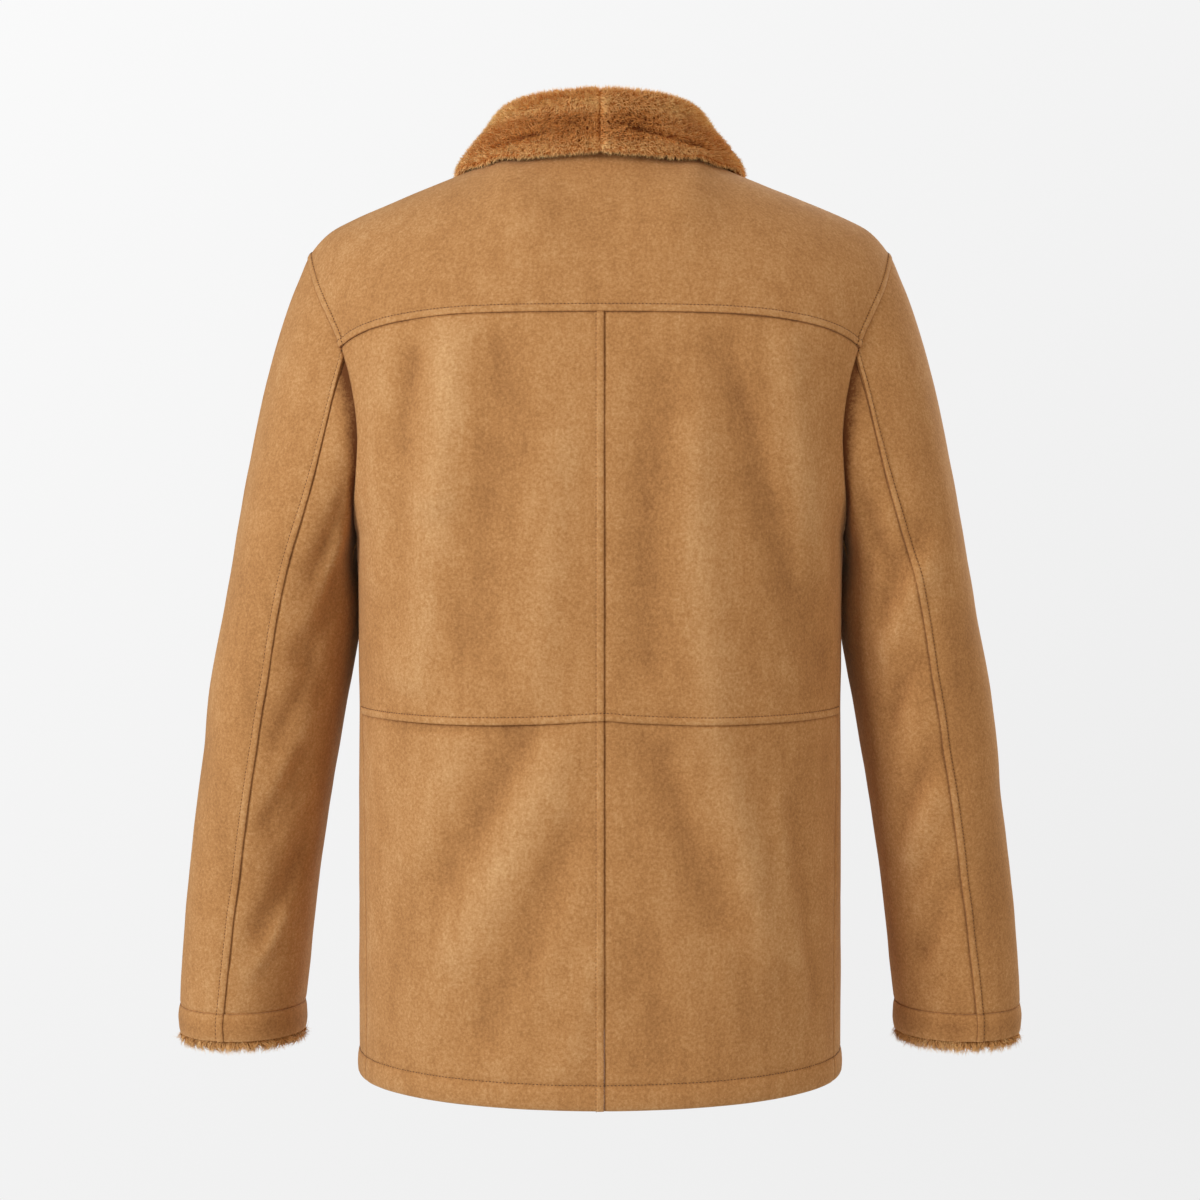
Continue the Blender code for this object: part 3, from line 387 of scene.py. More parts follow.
# %% [markdown]
# ## The body's surface
# Half of the body is worked out once, as rows that run from the middle of the back or front to the side seam
# or the armhole. Above the yoke seam each column bends in one line over the shoulder. Two neighbours share
# their edge points, as two pieces of cloth share a seam.

# %% Rows of the back and front
BACK_COLUMNS, NECK_COLUMNS = 12, 5
FRONT_COLUMNS = BACK_COLUMNS + 1
NECK_CORNER = NECK_COLUMNS + 1
YOKE_ROWS = 6
WAIST_ROW, UNDERARM_ROW, YOKE_ROW = 10, 15, 22
BODY_MIDDLE = np.array([0.0, 0.0, -300.0])


def row_places(length, first, count, last):
    """Even places along a row, with one more near each end where a lap needs it."""
    start = [first] if first else []
    end = [length - last] if last else []
    return np.array([0.0] + start + [length * step / count for step in range(1, count)] + end + [length])


def body_row(z_middle, edge, droop, from_x, front):
    """A fine line across half of the body, from its middle to the given point of its edge."""
    middle_turn = math.pi if front else 0.0
    start_turn = middle_turn + from_x / read(BODY, "front" if front else "back", "z", z_middle)
    edge_turn = math.atan2(edge[0], edge[1])
    amount = np.linspace(0, 1, FINE_STEPS)
    turn = start_turn + (edge_turn - start_turn) * amount
    across = np.clip((turn - middle_turn) / (edge_turn - middle_turn), 0, 1)
    z = z_middle + (edge[2] - z_middle) * across**droop
    sag = WAIST_SAG * math.exp(-(((z_middle - WAIST_SEAM) / WAIST_SAG_REACH) ** 2))
    z -= sag * np.sin(math.pi * across)
    points = body_point(turn, z)
    return points + (edge - points[-1]) * (amount**5)[:, None]


def body_edges(front):
    """For each row of half the body: its height in the middle, its point on the edge, and its droop."""
    low_stops = [HEM, HEM + HEM_DEPTH / 2, HEM + HEM_DEPTH, WAIST_SEAM, WAIST_SEAM + LAP_WIDTH]
    side = spread(low_stops + [UNDERARM], [1, 1, 8, 1, 4])
    if front:
        arm = ARMHOLE.length - spread([0, ARMHOLE.length - ARMHOLE.at["front upper"]], [6])[1:]
        top, last_droop = CHEST_LINE, 2.0
    else:
        arm = spread([0, ARMHOLE.at["yoke corner"]], [7])[1:]
        top, last_droop = YOKE_SEAM, 6.5
    edges = np.vstack([[side_seam_point(z) for z in side], ARMHOLE.point(arm)])
    edges[len(side) - 1] = ARMHOLE.point(0.0)
    middle = spread(low_stops + [top], [1, 1, 8, 1, 4 + len(arm)])
    droop = 2.0 + (last_droop - 2.0) * ease((np.arange(len(middle)) - len(side)) / len(arm))
    return zip(middle, edges, droop)


def back_grid():
    """The rows of half the back, from the hem up to the yoke seam."""
    rows = []
    for z, edge, droop in body_edges(front=False):
        line = body_row(z, edge, droop, 0.0, front=False)
        length = lengths_along(line)[-1]
        rows.append(resample(line, row_places(length, CENTRE_LAP, BACK_COLUMNS, LAP_WIDTH)))
    return np.array(rows)


def front_grid():
    """The rows of half the front, whose first columns reach past the middle for the overlap."""
    rows = []
    for z, edge, droop in body_edges(front=True):
        line = body_row(z, edge, droop, FRONT_OVERLAP, front=True)
        length = lengths_along(line)[-1]
        places = row_places(length - 2 * FRONT_OVERLAP, None, FRONT_COLUMNS - 2, LAP_WIDTH)
        rows.append(resample(line, np.concatenate([[0.0, FRONT_OVERLAP], places + 2 * FRONT_OVERLAP])))
    return np.array(rows)


def from_middle(points, middle, end=-1):
    """Each point's share of the way from the middle point to the end."""
    along = lengths_along(points)
    return np.abs(along - along[middle]) / (along[end] - along[middle])


SHOULDER_FULLNESS = 1.15


def over_shoulder(below, before, top, top_heading, arm_lengths, middle):
    """The rows from a level row up to the neck and the shoulder seam, one smooth line up each column."""
    across = from_middle(top, middle) ** 3
    leave = unit(below - before)
    up_armhole = ARMHOLE.heading(arm_lengths[0]) * np.sign(arm_lengths[1] - arm_lengths[0])
    leave = unit(leave + (up_armhole - leave) * across[:, None])
    reach = np.linalg.norm(top - below, axis=1)[:, None] * SHOULDER_FULLNESS
    edge = ARMHOLE.point(arm_lengths)
    first = np.linalg.norm(edge[1] - edge[0]) / lengths_along(edge)[-1]
    amounts = np.concatenate([[0.0], np.linspace(first, 1, len(arm_lengths) - 1)])
    rows = []
    for step, amount in enumerate(amounts):
        row = hermite(below, top, leave * reach, top_heading * reach, amount)
        row += (edge[step] - row[-1]) * (across**2)[:, None]
        rows.append(row)
    return np.array(rows)


def yoke_grid(back):
    """The rows of half the yoke, over the shoulder up to the neck and the shoulder seam."""
    lowest = ARMHOLE.at["yoke corner"]
    arm = spread([lowest, lowest + LAP_WIDTH, ARMHOLE.at["shoulder"]], [1, YOKE_ROWS])
    neck = neck_point(np.linspace(0, SHOULDER_SEAM_TURN, FINE_STEPS))
    neck_places = row_places(lengths_along(neck)[-1], CENTRE_LAP, NECK_COLUMNS, None)
    shoulder = shoulder_line()
    shoulder_columns = BACK_COLUMNS - NECK_COLUMNS
    shoulder_places = row_places(lengths_along(shoulder)[-1], None, shoulder_columns, LAP_WIDTH)
    top = np.vstack([resample(neck, neck_places), resample(shoulder, shoulder_places)[1:]])
    turned = ease(from_middle(top, 0, NECK_CORNER))[:, None]
    heading = unit(np.array([0, -0.42, 0.90]) * (1 - turned) + np.array([0, -0.97, -0.20]) * turned)
    heading[-1] = ARMHOLE.heading(ARMHOLE.at["shoulder"])
    return over_shoulder(back[-1], back[-2], top, heading, arm, 0)


def upper_front_grid(front):
    """The rows of half the front above the chest line."""
    arm = spread([ARMHOLE.at["front upper"], ARMHOLE.at["shoulder"]], [5])
    past_middle = math.degrees(FRONT_OVERLAP / NECK_HALF_WIDTH)
    neck = neck_point(np.linspace(180 + past_middle, SHOULDER_SEAM_TURN, FINE_STEPS))
    inner = np.linspace(2 * FRONT_OVERLAP, lengths_along(neck)[-1], NECK_COLUMNS)
    shoulder = shoulder_line()
    shoulder_columns = FRONT_COLUMNS - 1 - NECK_COLUMNS
    shoulder_places = row_places(lengths_along(shoulder)[-1], None, shoulder_columns, LAP_WIDTH)
    neck_places = np.concatenate([[0.0, FRONT_OVERLAP], inner])
    top = np.vstack([resample(neck, neck_places), resample(shoulder, shoulder_places)[1:]])
    turned = ease(from_middle(top, 1, NECK_CORNER))[:, None]
    heading = unit(np.array([0, 0.42, 0.90]) * (1 - turned) + np.array([0, 0.97, 0.20]) * turned)
    return over_shoulder(front[-1], front[-2], top, heading, arm, 1)


def grid_normals(points, round_columns=False):
    """The outward direction at each point of a grid whose rows run up and whose columns run round."""
    if round_columns:
        across = (np.roll(points, -1, axis=1) - np.roll(points, 1, axis=1)) / 2
    else:
        across = np.gradient(points, axis=1)
    return unit(np.cross(across, np.gradient(points, axis=0)))


def facing_out(normals, points, middle):
    """The same directions, turned round if they point to the middle."""
    return normals if np.sum(normals * (points - middle)) > 0 else -normals


lower_back, lower_front = back_grid(), front_grid()
back_half = np.vstack([lower_back, yoke_grid(lower_back)[1:]])
front_half = np.vstack([lower_front, upper_front_grid(lower_front)[1:]])
print("back rows and columns", back_half.shape[:2], "front", front_half.shape[:2])

# %% [markdown]
# ## The sleeve and the seam that it shares
# The sleeve leaves the armhole outward and down, and joins level rings that narrow to the cuff. At the
# armhole both cloths use one direction, midway between their outer sides, so their walls meet like the two
# halves of a mitred frame and neither cuts into the other.

# %% Sleeve rows and shared directions
CAP_ROWS, ARM_ROWS = 8, 12
ELBOW_COLUMN = 7


def sleeve_ring(turn, z):
    """A point of the sleeve below the underarm, by its turn in radians."""
    x = read(SLEEVE, "centre_x", "z", z) + read(SLEEVE, "half_width", "z", z) * np.cos(turn)
    y = read(SLEEVE, "centre_y", "z", z) + read(SLEEVE, "half_depth", "z", z) * np.sin(turn)
    return np.stack([x, y, z + 0 * turn], axis=-1)


def ring_normals(turn, z):
    """The outward directions of the sleeve's ring at a height."""
    width, depth = read(SLEEVE, "half_width", "z", z), read(SLEEVE, "half_depth", "z", z)
    return unit(np.stack([np.cos(turn) / width, np.sin(turn) / depth, 0 * turn], axis=-1))


def sleeve_turns(lengths):
    """The turn round the sleeve that belongs to each length along the armhole."""
    starts = [ARMHOLE.at[place] for place, _ in SLEEVE_LINES]
    starts[-1] = ARMHOLE.length
    turns = [turn for _, turn in SLEEVE_LINES]
    starts.insert(2, starts[1] + LAP_WIDTH)
    turns.insert(2, turns[1] - 6.0)
    return np.radians(np.interp(lengths, starts, turns))


def sleeve_grid(lengths, turn):
    """The sleeve from the armhole to the cuff seam, one column for each point of the armhole."""
    start, end = ARMHOLE.point(lengths), sleeve_ring(turn, SLEEVE_TOP)
    distance = np.linalg.norm(end - start, axis=1)[:, None]
    under = ((1 - np.cos(turn)) / 2) ** 3
    leave = unit(np.stack([0.42 + 0.15 * under, 0.10 * np.sin(turn), -0.91 + 0.12 * under], axis=-1))
    arrive = unit(sleeve_ring(turn, SLEEVE_TOP - 2.0) - end)
    amounts = np.linspace(0, 1, CAP_ROWS + 1)
    cap = [hermite(start, end, leave * distance, arrive * distance, amount) for amount in amounts]
    arm = [sleeve_ring(turn, z) for z in np.linspace(SLEEVE_TOP, CUFF_TOP, ARM_ROWS + 1)[1:]]
    return np.array(cap + arm)


def round_armhole(back, front):
    """Values at the armhole's points, in order from the underarm up the back and down the front."""
    return np.concatenate([back[UNDERARM_ROW:], front[::-1][1 : len(front) - 1 - UNDERARM_ROW]])


def mitre_directions(ring, body_inward, body_out, sleeve_inward, sleeve_out):
    """The direction midway between body and sleeve at each armhole point, square to the seam."""
    along = unit(np.roll(ring, -1, axis=0) - np.roll(ring, 1, axis=0))
    total = body_out + sleeve_out
    for inward in (body_inward, sleeve_inward):
        total = total + unit(inward - along * np.sum(inward * along, axis=1, keepdims=True))
    total -= along * np.sum(total * along, axis=1, keepdims=True)
    return unit(total)


back_out = facing_out(grid_normals(back_half), back_half, BODY_MIDDLE)
front_out = facing_out(grid_normals(front_half), front_half, BODY_MIDDLE)
back_out[:, 0, 0] = 0.0
side = slice(0, UNDERARM_ROW + 1)
back_out[side, -1] = front_out[side, -1] = back_out[side, -1] + front_out[side, -1]
shoulder = slice(NECK_CORNER, None)
back_out[-1, shoulder] += front_out[-1, shoulder]
front_out[-1, shoulder] = back_out[-1, shoulder]
back_out, front_out = unit(back_out), unit(front_out)

yoke_corner, front_upper = ARMHOLE.at["yoke corner"], ARMHOLE.at["front upper"]
back_arm = spread([0, yoke_corner, yoke_corner + LAP_WIDTH, ARMHOLE.at["shoulder"]], [7, 1, YOKE_ROWS])
front_arm = spread([ARMHOLE.length, front_upper, ARMHOLE.at["shoulder"]], [6, 5])
below_arm = np.zeros(UNDERARM_ROW)
arm_lengths = round_armhole(np.concatenate([below_arm, back_arm]), np.concatenate([below_arm, front_arm]))
sleeve_turn = sleeve_turns(arm_lengths)
sleeve = sleeve_grid(arm_lengths, sleeve_turn)
sleeve_out = grid_normals(sleeve, round_columns=True)
sleeve_out = facing_out(sleeve_out, sleeve, sleeve.mean(axis=1, keepdims=True))
sleeve_out[-1] = ring_normals(sleeve_turn, CUFF_TOP)
mitre = mitre_directions(
    sleeve[0],
    round_armhole(back_half[:, -2] - back_half[:, -1], front_half[:, -2] - front_half[:, -1]),
    round_armhole(back_out[:, -1], front_out[:, -1]),
    sleeve[1] - sleeve[0],
    sleeve_out[0],
)
back_count = len(back_half) - UNDERARM_ROW
back_out[UNDERARM_ROW:, -1] = mitre[:back_count]
front_out[UNDERARM_ROW + 1 : -1, -1] = mitre[back_count:][::-1]
front_out[UNDERARM_ROW, -1], front_out[-1, -1] = mitre[0], mitre[back_count - 1]
sleeve_out[0] = mitre
print("sleeve rows and columns", sleeve.shape[:2])

# %% [markdown]
# ## Folds
# The large folds are those of the solids, moved a little to where the photograph has them. Finer creases
# are added here, as short lines with a width and a height, as uneven as on the real cloth: a few drag from
# the shoulder blades, some lean down from the waist seam, and the sleeves break inside the elbow. The
# hidden front has similar ones. A row starts with its face, 1 for the back and -1 for the front, or with the
# side of its sleeve, and x grows toward the wearer's left.

# %% Folds and creases
FOLDS = table(
    "face x0 z0 x1 z1 width height",
    [
        (1, 170, -180, 176, -362, 16, 2.2),
        (1, 148, -182, 158, -250, 13, -3.2),
        (1, 160, -262, 157, -400, 15, -2.0),
        (1, 118, -174, 128, -290, 20, 3.6),
        (1, 130, -300, 152, -440, 18, 3.3),
        (1, 76, -184, 82, -262, 20, -2.8),
        (1, 84, -296, 98, -405, 19, -2.8),
        (1, 36, -262, 52, -445, 18, 2.2),
        (1, -46, -210, -38, -425, 18, -2.6),
        (1, -76, -250, -86, -450, 20, 3.0),
        (1, -98, -178, -120, -252, 16, -3.2),
        (1, -126, -280, -178, -432, 15, -3.8),
        (1, -148, -178, -172, -350, 15, 3.4),
        (1, 112, -488, 150, -585, 18, 2.4),
        (1, 62, -488, 124, -594, 16, -3.4),
        (1, 34, -502, 108, -650, 18, 3.4),
        (1, 22, -556, 88, -712, 16, -3.6),
        (1, 4, -655, 27, -737, 14, 2.2),
        (1, -36, -484, -94, -620, 16, -3.0),
        (1, -87, -481, -137, -655, 20, 3.2),
        (1, -142, -530, -163, -704, 8, 1.8),
        (1, -151, -535, -172, -704, 7, -1.6),
        (1, -30, -650, -50, -730, 20, -2.0),
        (-1, 118, -210, 96, -420, 26, -3.4),
        (-1, 150, -230, 140, -440, 22, 3.0),
        (-1, 70, -240, 64, -470, 24, 2.6),
        (-1, 128, -480, 142, -700, 24, -3.0),
        (-1, 82, -520, 100, -720, 26, 2.8),
        (-1, -110, -200, -92, -400, 24, -3.0),
        (-1, -146, -240, -150, -430, 22, 2.8),
        (-1, -68, -280, -76, -500, 26, 2.4),
        (-1, -120, -500, -134, -690, 24, -3.2),
        (-1, -84, -560, -90, -730, 22, 2.4),
    ],
)
CREASES = table(
    "face x0 z0 x1 z1 width height",
    [
        (1, 150, -184, 156, -236, 7, -1.3),
        (1, 120, -200, 126, -300, 9, 0.9),
        (1, 48, -320, 58, -400, 9, -0.8),
        (1, 88, -330, 100, -440, 8, 0.7),
        (1, -76, -210, -72, -330, 9, 0.8),
        (1, -112, -212, -142, -310, 6, -1.2),
        (1, -168, -330, -186, -420, 6, -1.4),
        (1, -34, -250, -30, -350, 10, -0.8),
        (1, 150, -452, 190, -440, 8, -1.2),
        (1, -150, -455, -188, -446, 8, -1.0),
        (1, 62, -490, 96, -556, 7, -1.0),
        (1, 28, -540, 62, -610, 8, 1.0),
        (1, 30, -600, 60, -680, 7, -1.0),
        (1, -52, -492, -74, -570, 7, -0.9),
        (1, -100, -520, -118, -600, 9, 0.8),
        (1, 150, -600, 168, -700, 9, -0.9),
        (1, 120, -660, 134, -730, 10, 0.8),
        (1, -98, -660, -104, -730, 10, 0.7),
        (-1, 130, -230, 112, -330, 10, 1.1),
        (-1, -128, -240, -118, -350, 10, -1.0),
        (-1, 100, -500, 112, -600, 10, 1.0),
        (-1, -96, -520, -104, -640, 10, -1.0),
        (-1, 150, -560, 160, -690, 8, 0.9),
        (-1, -150, -560, -158, -680, 8, 0.9),
    ],
)
SLEEVE_FOLDS = table(
    "side turn0 z0 turn1 z1 width height",
    [
        (1, 118, -165, 122, -262, 18, -5.0),
        (1, 84, -180, 92, -250, 16, 2.4),
        (1, 122, -290, 100, -352, 12, -3.2),
        (1, 128, -325, 104, -392, 12, 2.6),
        (1, 128, -362, 98, -424, 12, -2.8),
        (1, 118, -430, 92, -492, 13, -3.0),
        (1, 122, -470, 96, -528, 12, 2.4),
        (1, 120, -508, 94, -560, 12, -3.0),
        (1, 138, -586, 98, -652, 13, -3.2),
        (1, 126, -640, 96, -690, 12, 2.2),
        (1, 40, -360, 66, -480, 24, -2.0),
        (1, 20, -500, 58, -610, 24, -2.0),
        (1, -60, -430, -120, -500, 18, -3.6),
        (1, -70, -480, -125, -540, 18, 2.6),
        (1, -60, -530, -120, -580, 18, -3.2),
        (1, -100, -290, -150, -360, 18, -3.4),
        (-1, 118, -165, 120, -272, 18, -5.0),
        (-1, 84, -190, 94, -262, 16, 2.4),
        (-1, 106, -300, 88, -352, 13, -3.0),
        (-1, 56, -318, 108, -384, 12, -3.4),
        (-1, 64, -352, 116, -420, 12, 2.6),
        (-1, 84, -424, 122, -470, 13, -2.8),
        (-1, 80, -500, 124, -548, 13, -2.8),
        (-1, 86, -540, 126, -590, 12, 2.4),
        (-1, 80, -610, 124, -668, 13, -2.8),
        (-1, 36, -400, 62, -500, 24, -2.0),
        (-1, 16, -540, 54, -650, 24, -2.0),
        (-1, -55, -440, -118, -505, 18, -3.4),
        (-1, -66, -495, -122, -548, 18, 2.4),
        (-1, -58, -545, -116, -600, 18, -3.0),
        (-1, -96, -300, -148, -368, 18, -3.2),
    ],
)
SLEEVE_CREASES = table(
    "side turn0 z0 turn1 z1 width height",
    [
        (1, 130, -190, 126, -250, 7, -1.8),
        (1, 132, -300, 108, -344, 6, -1.4),
        (1, 136, -380, 108, -430, 6, -1.4),
        (1, 134, -446, 104, -500, 6, -1.4),
        (1, 136, -520, 104, -572, 6, -1.4),
        (1, 136, -610, 104, -662, 6, -1.4),
        (1, 126, -668, 96, -700, 6, -1.0),
        (-1, 128, -190, 124, -262, 7, -1.8),
        (-1, 96, -322, 122, -352, 6, -1.3),
        (-1, 72, -340, 104, -378, 6, -1.0),
        (-1, 96, -440, 130, -480, 6, -1.3),
        (-1, 98, -520, 132, -566, 6, -1.3),
        (-1, 92, -580, 124, -620, 6, -1.0),
        (-1, 96, -640, 128, -684, 6, -1.2),
    ],
)


def fold_heights(rows, kind, side, across, up, across_scale=1.0):
    """How far the folds of one face or side lift the cloth at each place."""
    total = np.zeros_like(across)
    names = ("x0", "z0", "x1", "z1") if "x0" in rows else ("turn0", "z0", "turn1", "z1")
    for index in np.flatnonzero(rows[kind] == side):
        x0, z0, x1, z1 = (rows[name][index] for name in names)
        x0, x1 = x0 * across_scale, x1 * across_scale
        run, rise = x1 - x0, z1 - z0
        along = np.clip(((across - x0) * run + (up - z0) * rise) / (run**2 + rise**2), 0, 1)
        away = np.hypot(across - x0 - along * run, up - z0 - along * rise)
        total += rows["height"][index] * fade(away, rows["width"][index])
    return total


def body_folds(points, face, side, share):
    """Folds of one half of the back (face 1) or front (face -1), still at the side seam and the armhole."""
    total = np.zeros(points.shape[:2])
    for rows in (FOLDS, CREASES):
        total += fold_heights(rows, "face", face, side * points[..., 0], points[..., 2])
    return total * (1 - ease((share - 0.84) / 0.12))


def ripple(points, size, offset):
    """Smooth noise from -1 to 1 at each point, with features of the given size in millimetres."""
    flat = points.reshape(-1, 3) / size + offset
    found = np.array([noise.noise(Vector(point)) for point in flat])
    return found.reshape(points.shape[:-1])


print("folds", len(FOLDS["face"]), "and creases", len(CREASES["face"]), "on the body")

# %% [markdown]
# ## Finishes
# Faux suede is a matte brushed cloth. Its colour is cloudy where the nap lies in different ways and finely
# grained close up. Painted shade darkens its seams, cut edges, stitch lines and hollows, painted light makes
# fold tops paler, and lapped strips and hem folds are a little paler too. Fur is dark at the root and golden
# at the tip, so its colour follows each strand. All of this is read from the place on the object or from
# attributes.

# %% Node helpers and materials


def new_material(name, roughness, sheen=0.0, sheen_tint=(1.0, 1.0, 1.0, 1.0), specular=0.3):
    """A material, its node tree and its shader."""
    paint = bpy.data.materials.new(name)
    paint.use_nodes = True
    shader = paint.node_tree.nodes["Principled BSDF"]
    shader.inputs["Roughness"].default_value = roughness
    shader.inputs["Specular IOR Level"].default_value = specular
    shader.inputs["Sheen Weight"].default_value = sheen
    shader.inputs["Sheen Roughness"].default_value = 0.5
    shader.inputs["Sheen Tint"].default_value = sheen_tint
    return paint, paint.node_tree, shader


def noise_at(tree, place, scale, detail=3.0, roughness=0.55):
    inputs = {"Vector": place, "Scale": scale, "Detail": detail, "Roughness": roughness}
    return add_node(tree, "ShaderNodeTexNoise", inputs).outputs[0]


def math_node(tree, operation, first, second, third=0.0):
    return add_node(tree, "ShaderNodeMath", {0: first, 1: second, 2: third}, operation=operation).outputs[0]


def object_place(tree):
    return add_node(tree, "ShaderNodeTexCoord").outputs["Object"]


def attribute_value(tree, name):
    return add_node(tree, "ShaderNodeAttribute", attribute_name=name).outputs["Fac"]


def colour_by(tree, shader, amount, stops):
    """The shader's colour, read from a ramp of colours. The first two stops are its lowest and highest."""
    made = add_node(tree, "ShaderNodeValToRGB", {"Fac": amount})
    ramp = made.color_ramp
    for index, (place, colour) in enumerate(stops):
        element = ramp.elements[index] if index < 2 else ramp.elements.new(place)
        element.position = place
        element.color = (*colour, 1.0)
    tree.links.new(made.outputs["Color"], shader.inputs["Base Color"])


def add_bump(tree, shader, height, strength, distance):
    bump = add_node(tree, "ShaderNodeBump", {"Height": height, "Strength": strength, "Distance": distance})
    tree.links.new(bump.outputs["Normal"], shader.inputs["Normal"])


def linear(red, green, blue):
    """A colour as it shows on screen, from 0 to 255, turned to the light that a shader works in."""
    shown = np.array([red, green, blue]) / 255.0
    return tuple(np.where(shown <= 0.04045, shown / 12.92, ((shown + 0.055) / 1.055) ** 2.4).tolist())


def suede_material(name, dark, middle, light):
    """A cloudy nap: four noises of different sizes, and an attribute of painted light and shade, and paler
    strips.
    """
    paint, tree, shader = new_material(name, 0.92, sheen=0.30, sheen_tint=(*linear(236, 205, 170), 1.0))
    place = object_place(tree)
    drawn_out = add_node(tree, "ShaderNodeMapping", {"Vector": place, "Scale": (70.0, 70.0, 16.0)}).outputs[0]
    wear_and_painted_light = attribute_value(tree, "wear_and_painted_light")
    patches = noise_at(tree, place, 58.0, 4.0, 0.6)
    grain = noise_at(tree, place, 430.0, 3.0, 0.75)
    # The attribute read here holds painted shade in seams, cut edges and hollows, painted light on fold tops,
    # and paler strips.
    shade = math_node(tree, "MULTIPLY_ADD", wear_and_painted_light, 0.30, -0.19)
    layers = (
        # each noise and how much it tells: clouds, streaks down the nap, patches, grain
        (noise_at(tree, place, 11.0, 2.0), 0.20),
        (noise_at(tree, drawn_out, 1.0, 3.0, 0.6), 0.24),
        (patches, 0.18),
        (grain, 0.78),
    )
    for values, weight in layers:
        shade = math_node(tree, "MULTIPLY_ADD", values, weight, shade)
    colour_by(tree, shader, shade, [(0.0, dark), (1.0, light), (0.5, middle)])
    add_bump(tree, shader, math_node(tree, "MULTIPLY_ADD", patches, 0.5, grain), 0.5, 0.0006)
    return paint


def reverse_material(name, dark, light):
    """The fur face inside the cloth: short curls, as at the cuffs, shown by colour and bump alone."""
    paint, tree, shader = new_material(name, 0.97, sheen=0.5)
    place = object_place(tree)
    curls = add_node(tree, "ShaderNodeTexVoronoi", {"Vector": place, "Scale": 190.0}, feature="SMOOTH_F1")
    fine = noise_at(tree, place, 420.0)
    height = math_node(tree, "MULTIPLY_ADD", fine, 0.5, curls.outputs["Distance"])
    colour_by(tree, shader, height, [(0.15, dark), (0.8, light)])
    add_bump(tree, shader, height, 0.8, 0.002)
    return paint


def fur_material(name, root, body, tip):
    """Strands carry two attributes: along, from root to tip, and shade, one value for each strand."""
    paint, tree, shader = new_material(name, 0.62, sheen=0.25, sheen_tint=(*tip, 1.0), specular=0.25)
    toward_tip = math_node(tree, "MULTIPLY_ADD", attribute_value(tree, "along"), 0.55, 0.02)
    amount = math_node(tree, "MULTIPLY_ADD", attribute_value(tree, "shade"), 0.5, toward_tip)
    colour_by(tree, shader, amount, [(0.0, root), (1.0, tip), (0.45, body)])
    return paint


def core_material(name, dark, light):
    """The close pile below the strands' tips."""
    paint, tree, shader = new_material(name, 0.95)
    tufts = noise_at(tree, object_place(tree), 260.0, 4.0, 0.7)
    # The core's tone, which carries painted light and shade on the collar.
    amount = math_node(tree, "MULTIPLY_ADD", attribute_value(tree, "tone"), 0.5, tufts)
    colour_by(tree, shader, amount, [(0.3, dark), (0.75, light)])
    add_bump(tree, shader, tufts, 0.9, 0.002)
    return paint


def thread_material(name, dark, light):
    """Twisted thread."""
    paint, tree, shader = new_material(name, 0.6, sheen=0.1)
    inputs = {"Vector": object_place(tree), "Scale": 700.0, "Distortion": 1.5}
    twist = add_node(tree, "ShaderNodeTexWave", inputs).outputs["Fac"]
    colour_by(tree, shader, twist, [(0.2, dark), (0.8, light)])
    return paint


def horn_material(name, dark, light):
    """Streaked horn with a dull shine."""
    paint, tree, shader = new_material(name, 0.32, specular=0.5)
    place = object_place(tree)
    inputs = {"Vector": place, "Scale": 55.0, "Distortion": 9.0, "Detail": 3.0, "Detail Scale": 1.4}
    streaks = add_node(tree, "ShaderNodeTexWave", inputs).outputs["Fac"]
    colour_by(tree, shader, streaks, [(0.25, dark), (0.95, light)])
    haze = math_node(tree, "MULTIPLY_ADD", noise_at(tree, place, 300.0), 0.25, 0.2)
    tree.links.new(haze, shader.inputs["Roughness"])
    return paint


SUEDE = suede_material("suede", linear(104, 58, 22), linear(182, 131, 79), linear(228, 187, 137))
REVERSE = reverse_material("reverse_pile", linear(140, 104, 68), linear(196, 160, 118))
COLLAR_FUR = fur_material("collar_fur", linear(150, 78, 26), linear(224, 154, 80), linear(252, 218, 154))
COLLAR_CORE = core_material("collar_pile", linear(130, 70, 30), linear(204, 132, 68))
CUFF_FUR = fur_material("cuff_fur", linear(150, 100, 54), linear(214, 160, 98), linear(248, 210, 150))
CUFF_CORE = core_material("cuff_pile", linear(138, 92, 50), linear(196, 146, 90))
THREAD = thread_material("thread", linear(66, 40, 20), linear(104, 68, 38))
HORN = horn_material("horn", linear(34, 20, 12), linear(96, 60, 34))
print("materials:", len(bpy.data.materials))

# %% [markdown]
# ## Cloth shells
# The grid is only a net of measured points, so it is read as a smooth sheet. Every panel then gets its own
# fine grid, close-set beside its seams, where laps, stitches and puckers need small faces, and wide in the
# open cloth. The wall is real: an outer face, an inner face and edges, one closed body for each cut piece.

# %% Fine grids from the measured ones
LAP_HEIGHT = 1.3
STRIP_WIDTH = 6.2
SHOWN_GAP = 0.06
OPEN_STEP = 4.4
# The value at the inner points, so that the walls of the cut edges grow darker toward the inside.
INSIDE_EDGE_DARKENING = -0.6
LAP_EDGE = np.array([0.0, 0.6, 1.3, 2.6, 4.2, 5.2, 5.9, 6.6, 7.7, 10.0])
PLAIN_EDGE = np.array([0.0, 0.9, 2.2, 4.5, 8.0])
HEM_EDGE = np.array([0.0, 0.8, 2.5, 6.0, 10.0, 14.5, 18.0, 19.3, 20.3, 22.0, 25.0])


class Surface:
    """A smooth sheet through a coarse grid, read by its mean length up the rows and across the columns."""

    def __init__(self, points, out):
        self.points, self.out = points, out
        self.up, self.across = self.mean_lengths(0), self.mean_lengths(1)

    def mean_lengths(self, axis):
        steps = np.linalg.norm(np.diff(self.points, axis=axis), axis=-1)
        return np.concatenate([[0.0], np.cumsum(steps.mean(axis=1 - axis))])

    def at(self, up, across):
        found = []
        for values in (self.points, self.out):
            rows = smooth_values(self.up, values, up)
            found.append(smooth_values(self.across, rows.transpose(1, 0, 2), across).transpose(1, 0, 2))
        return found[0], unit(found[1])


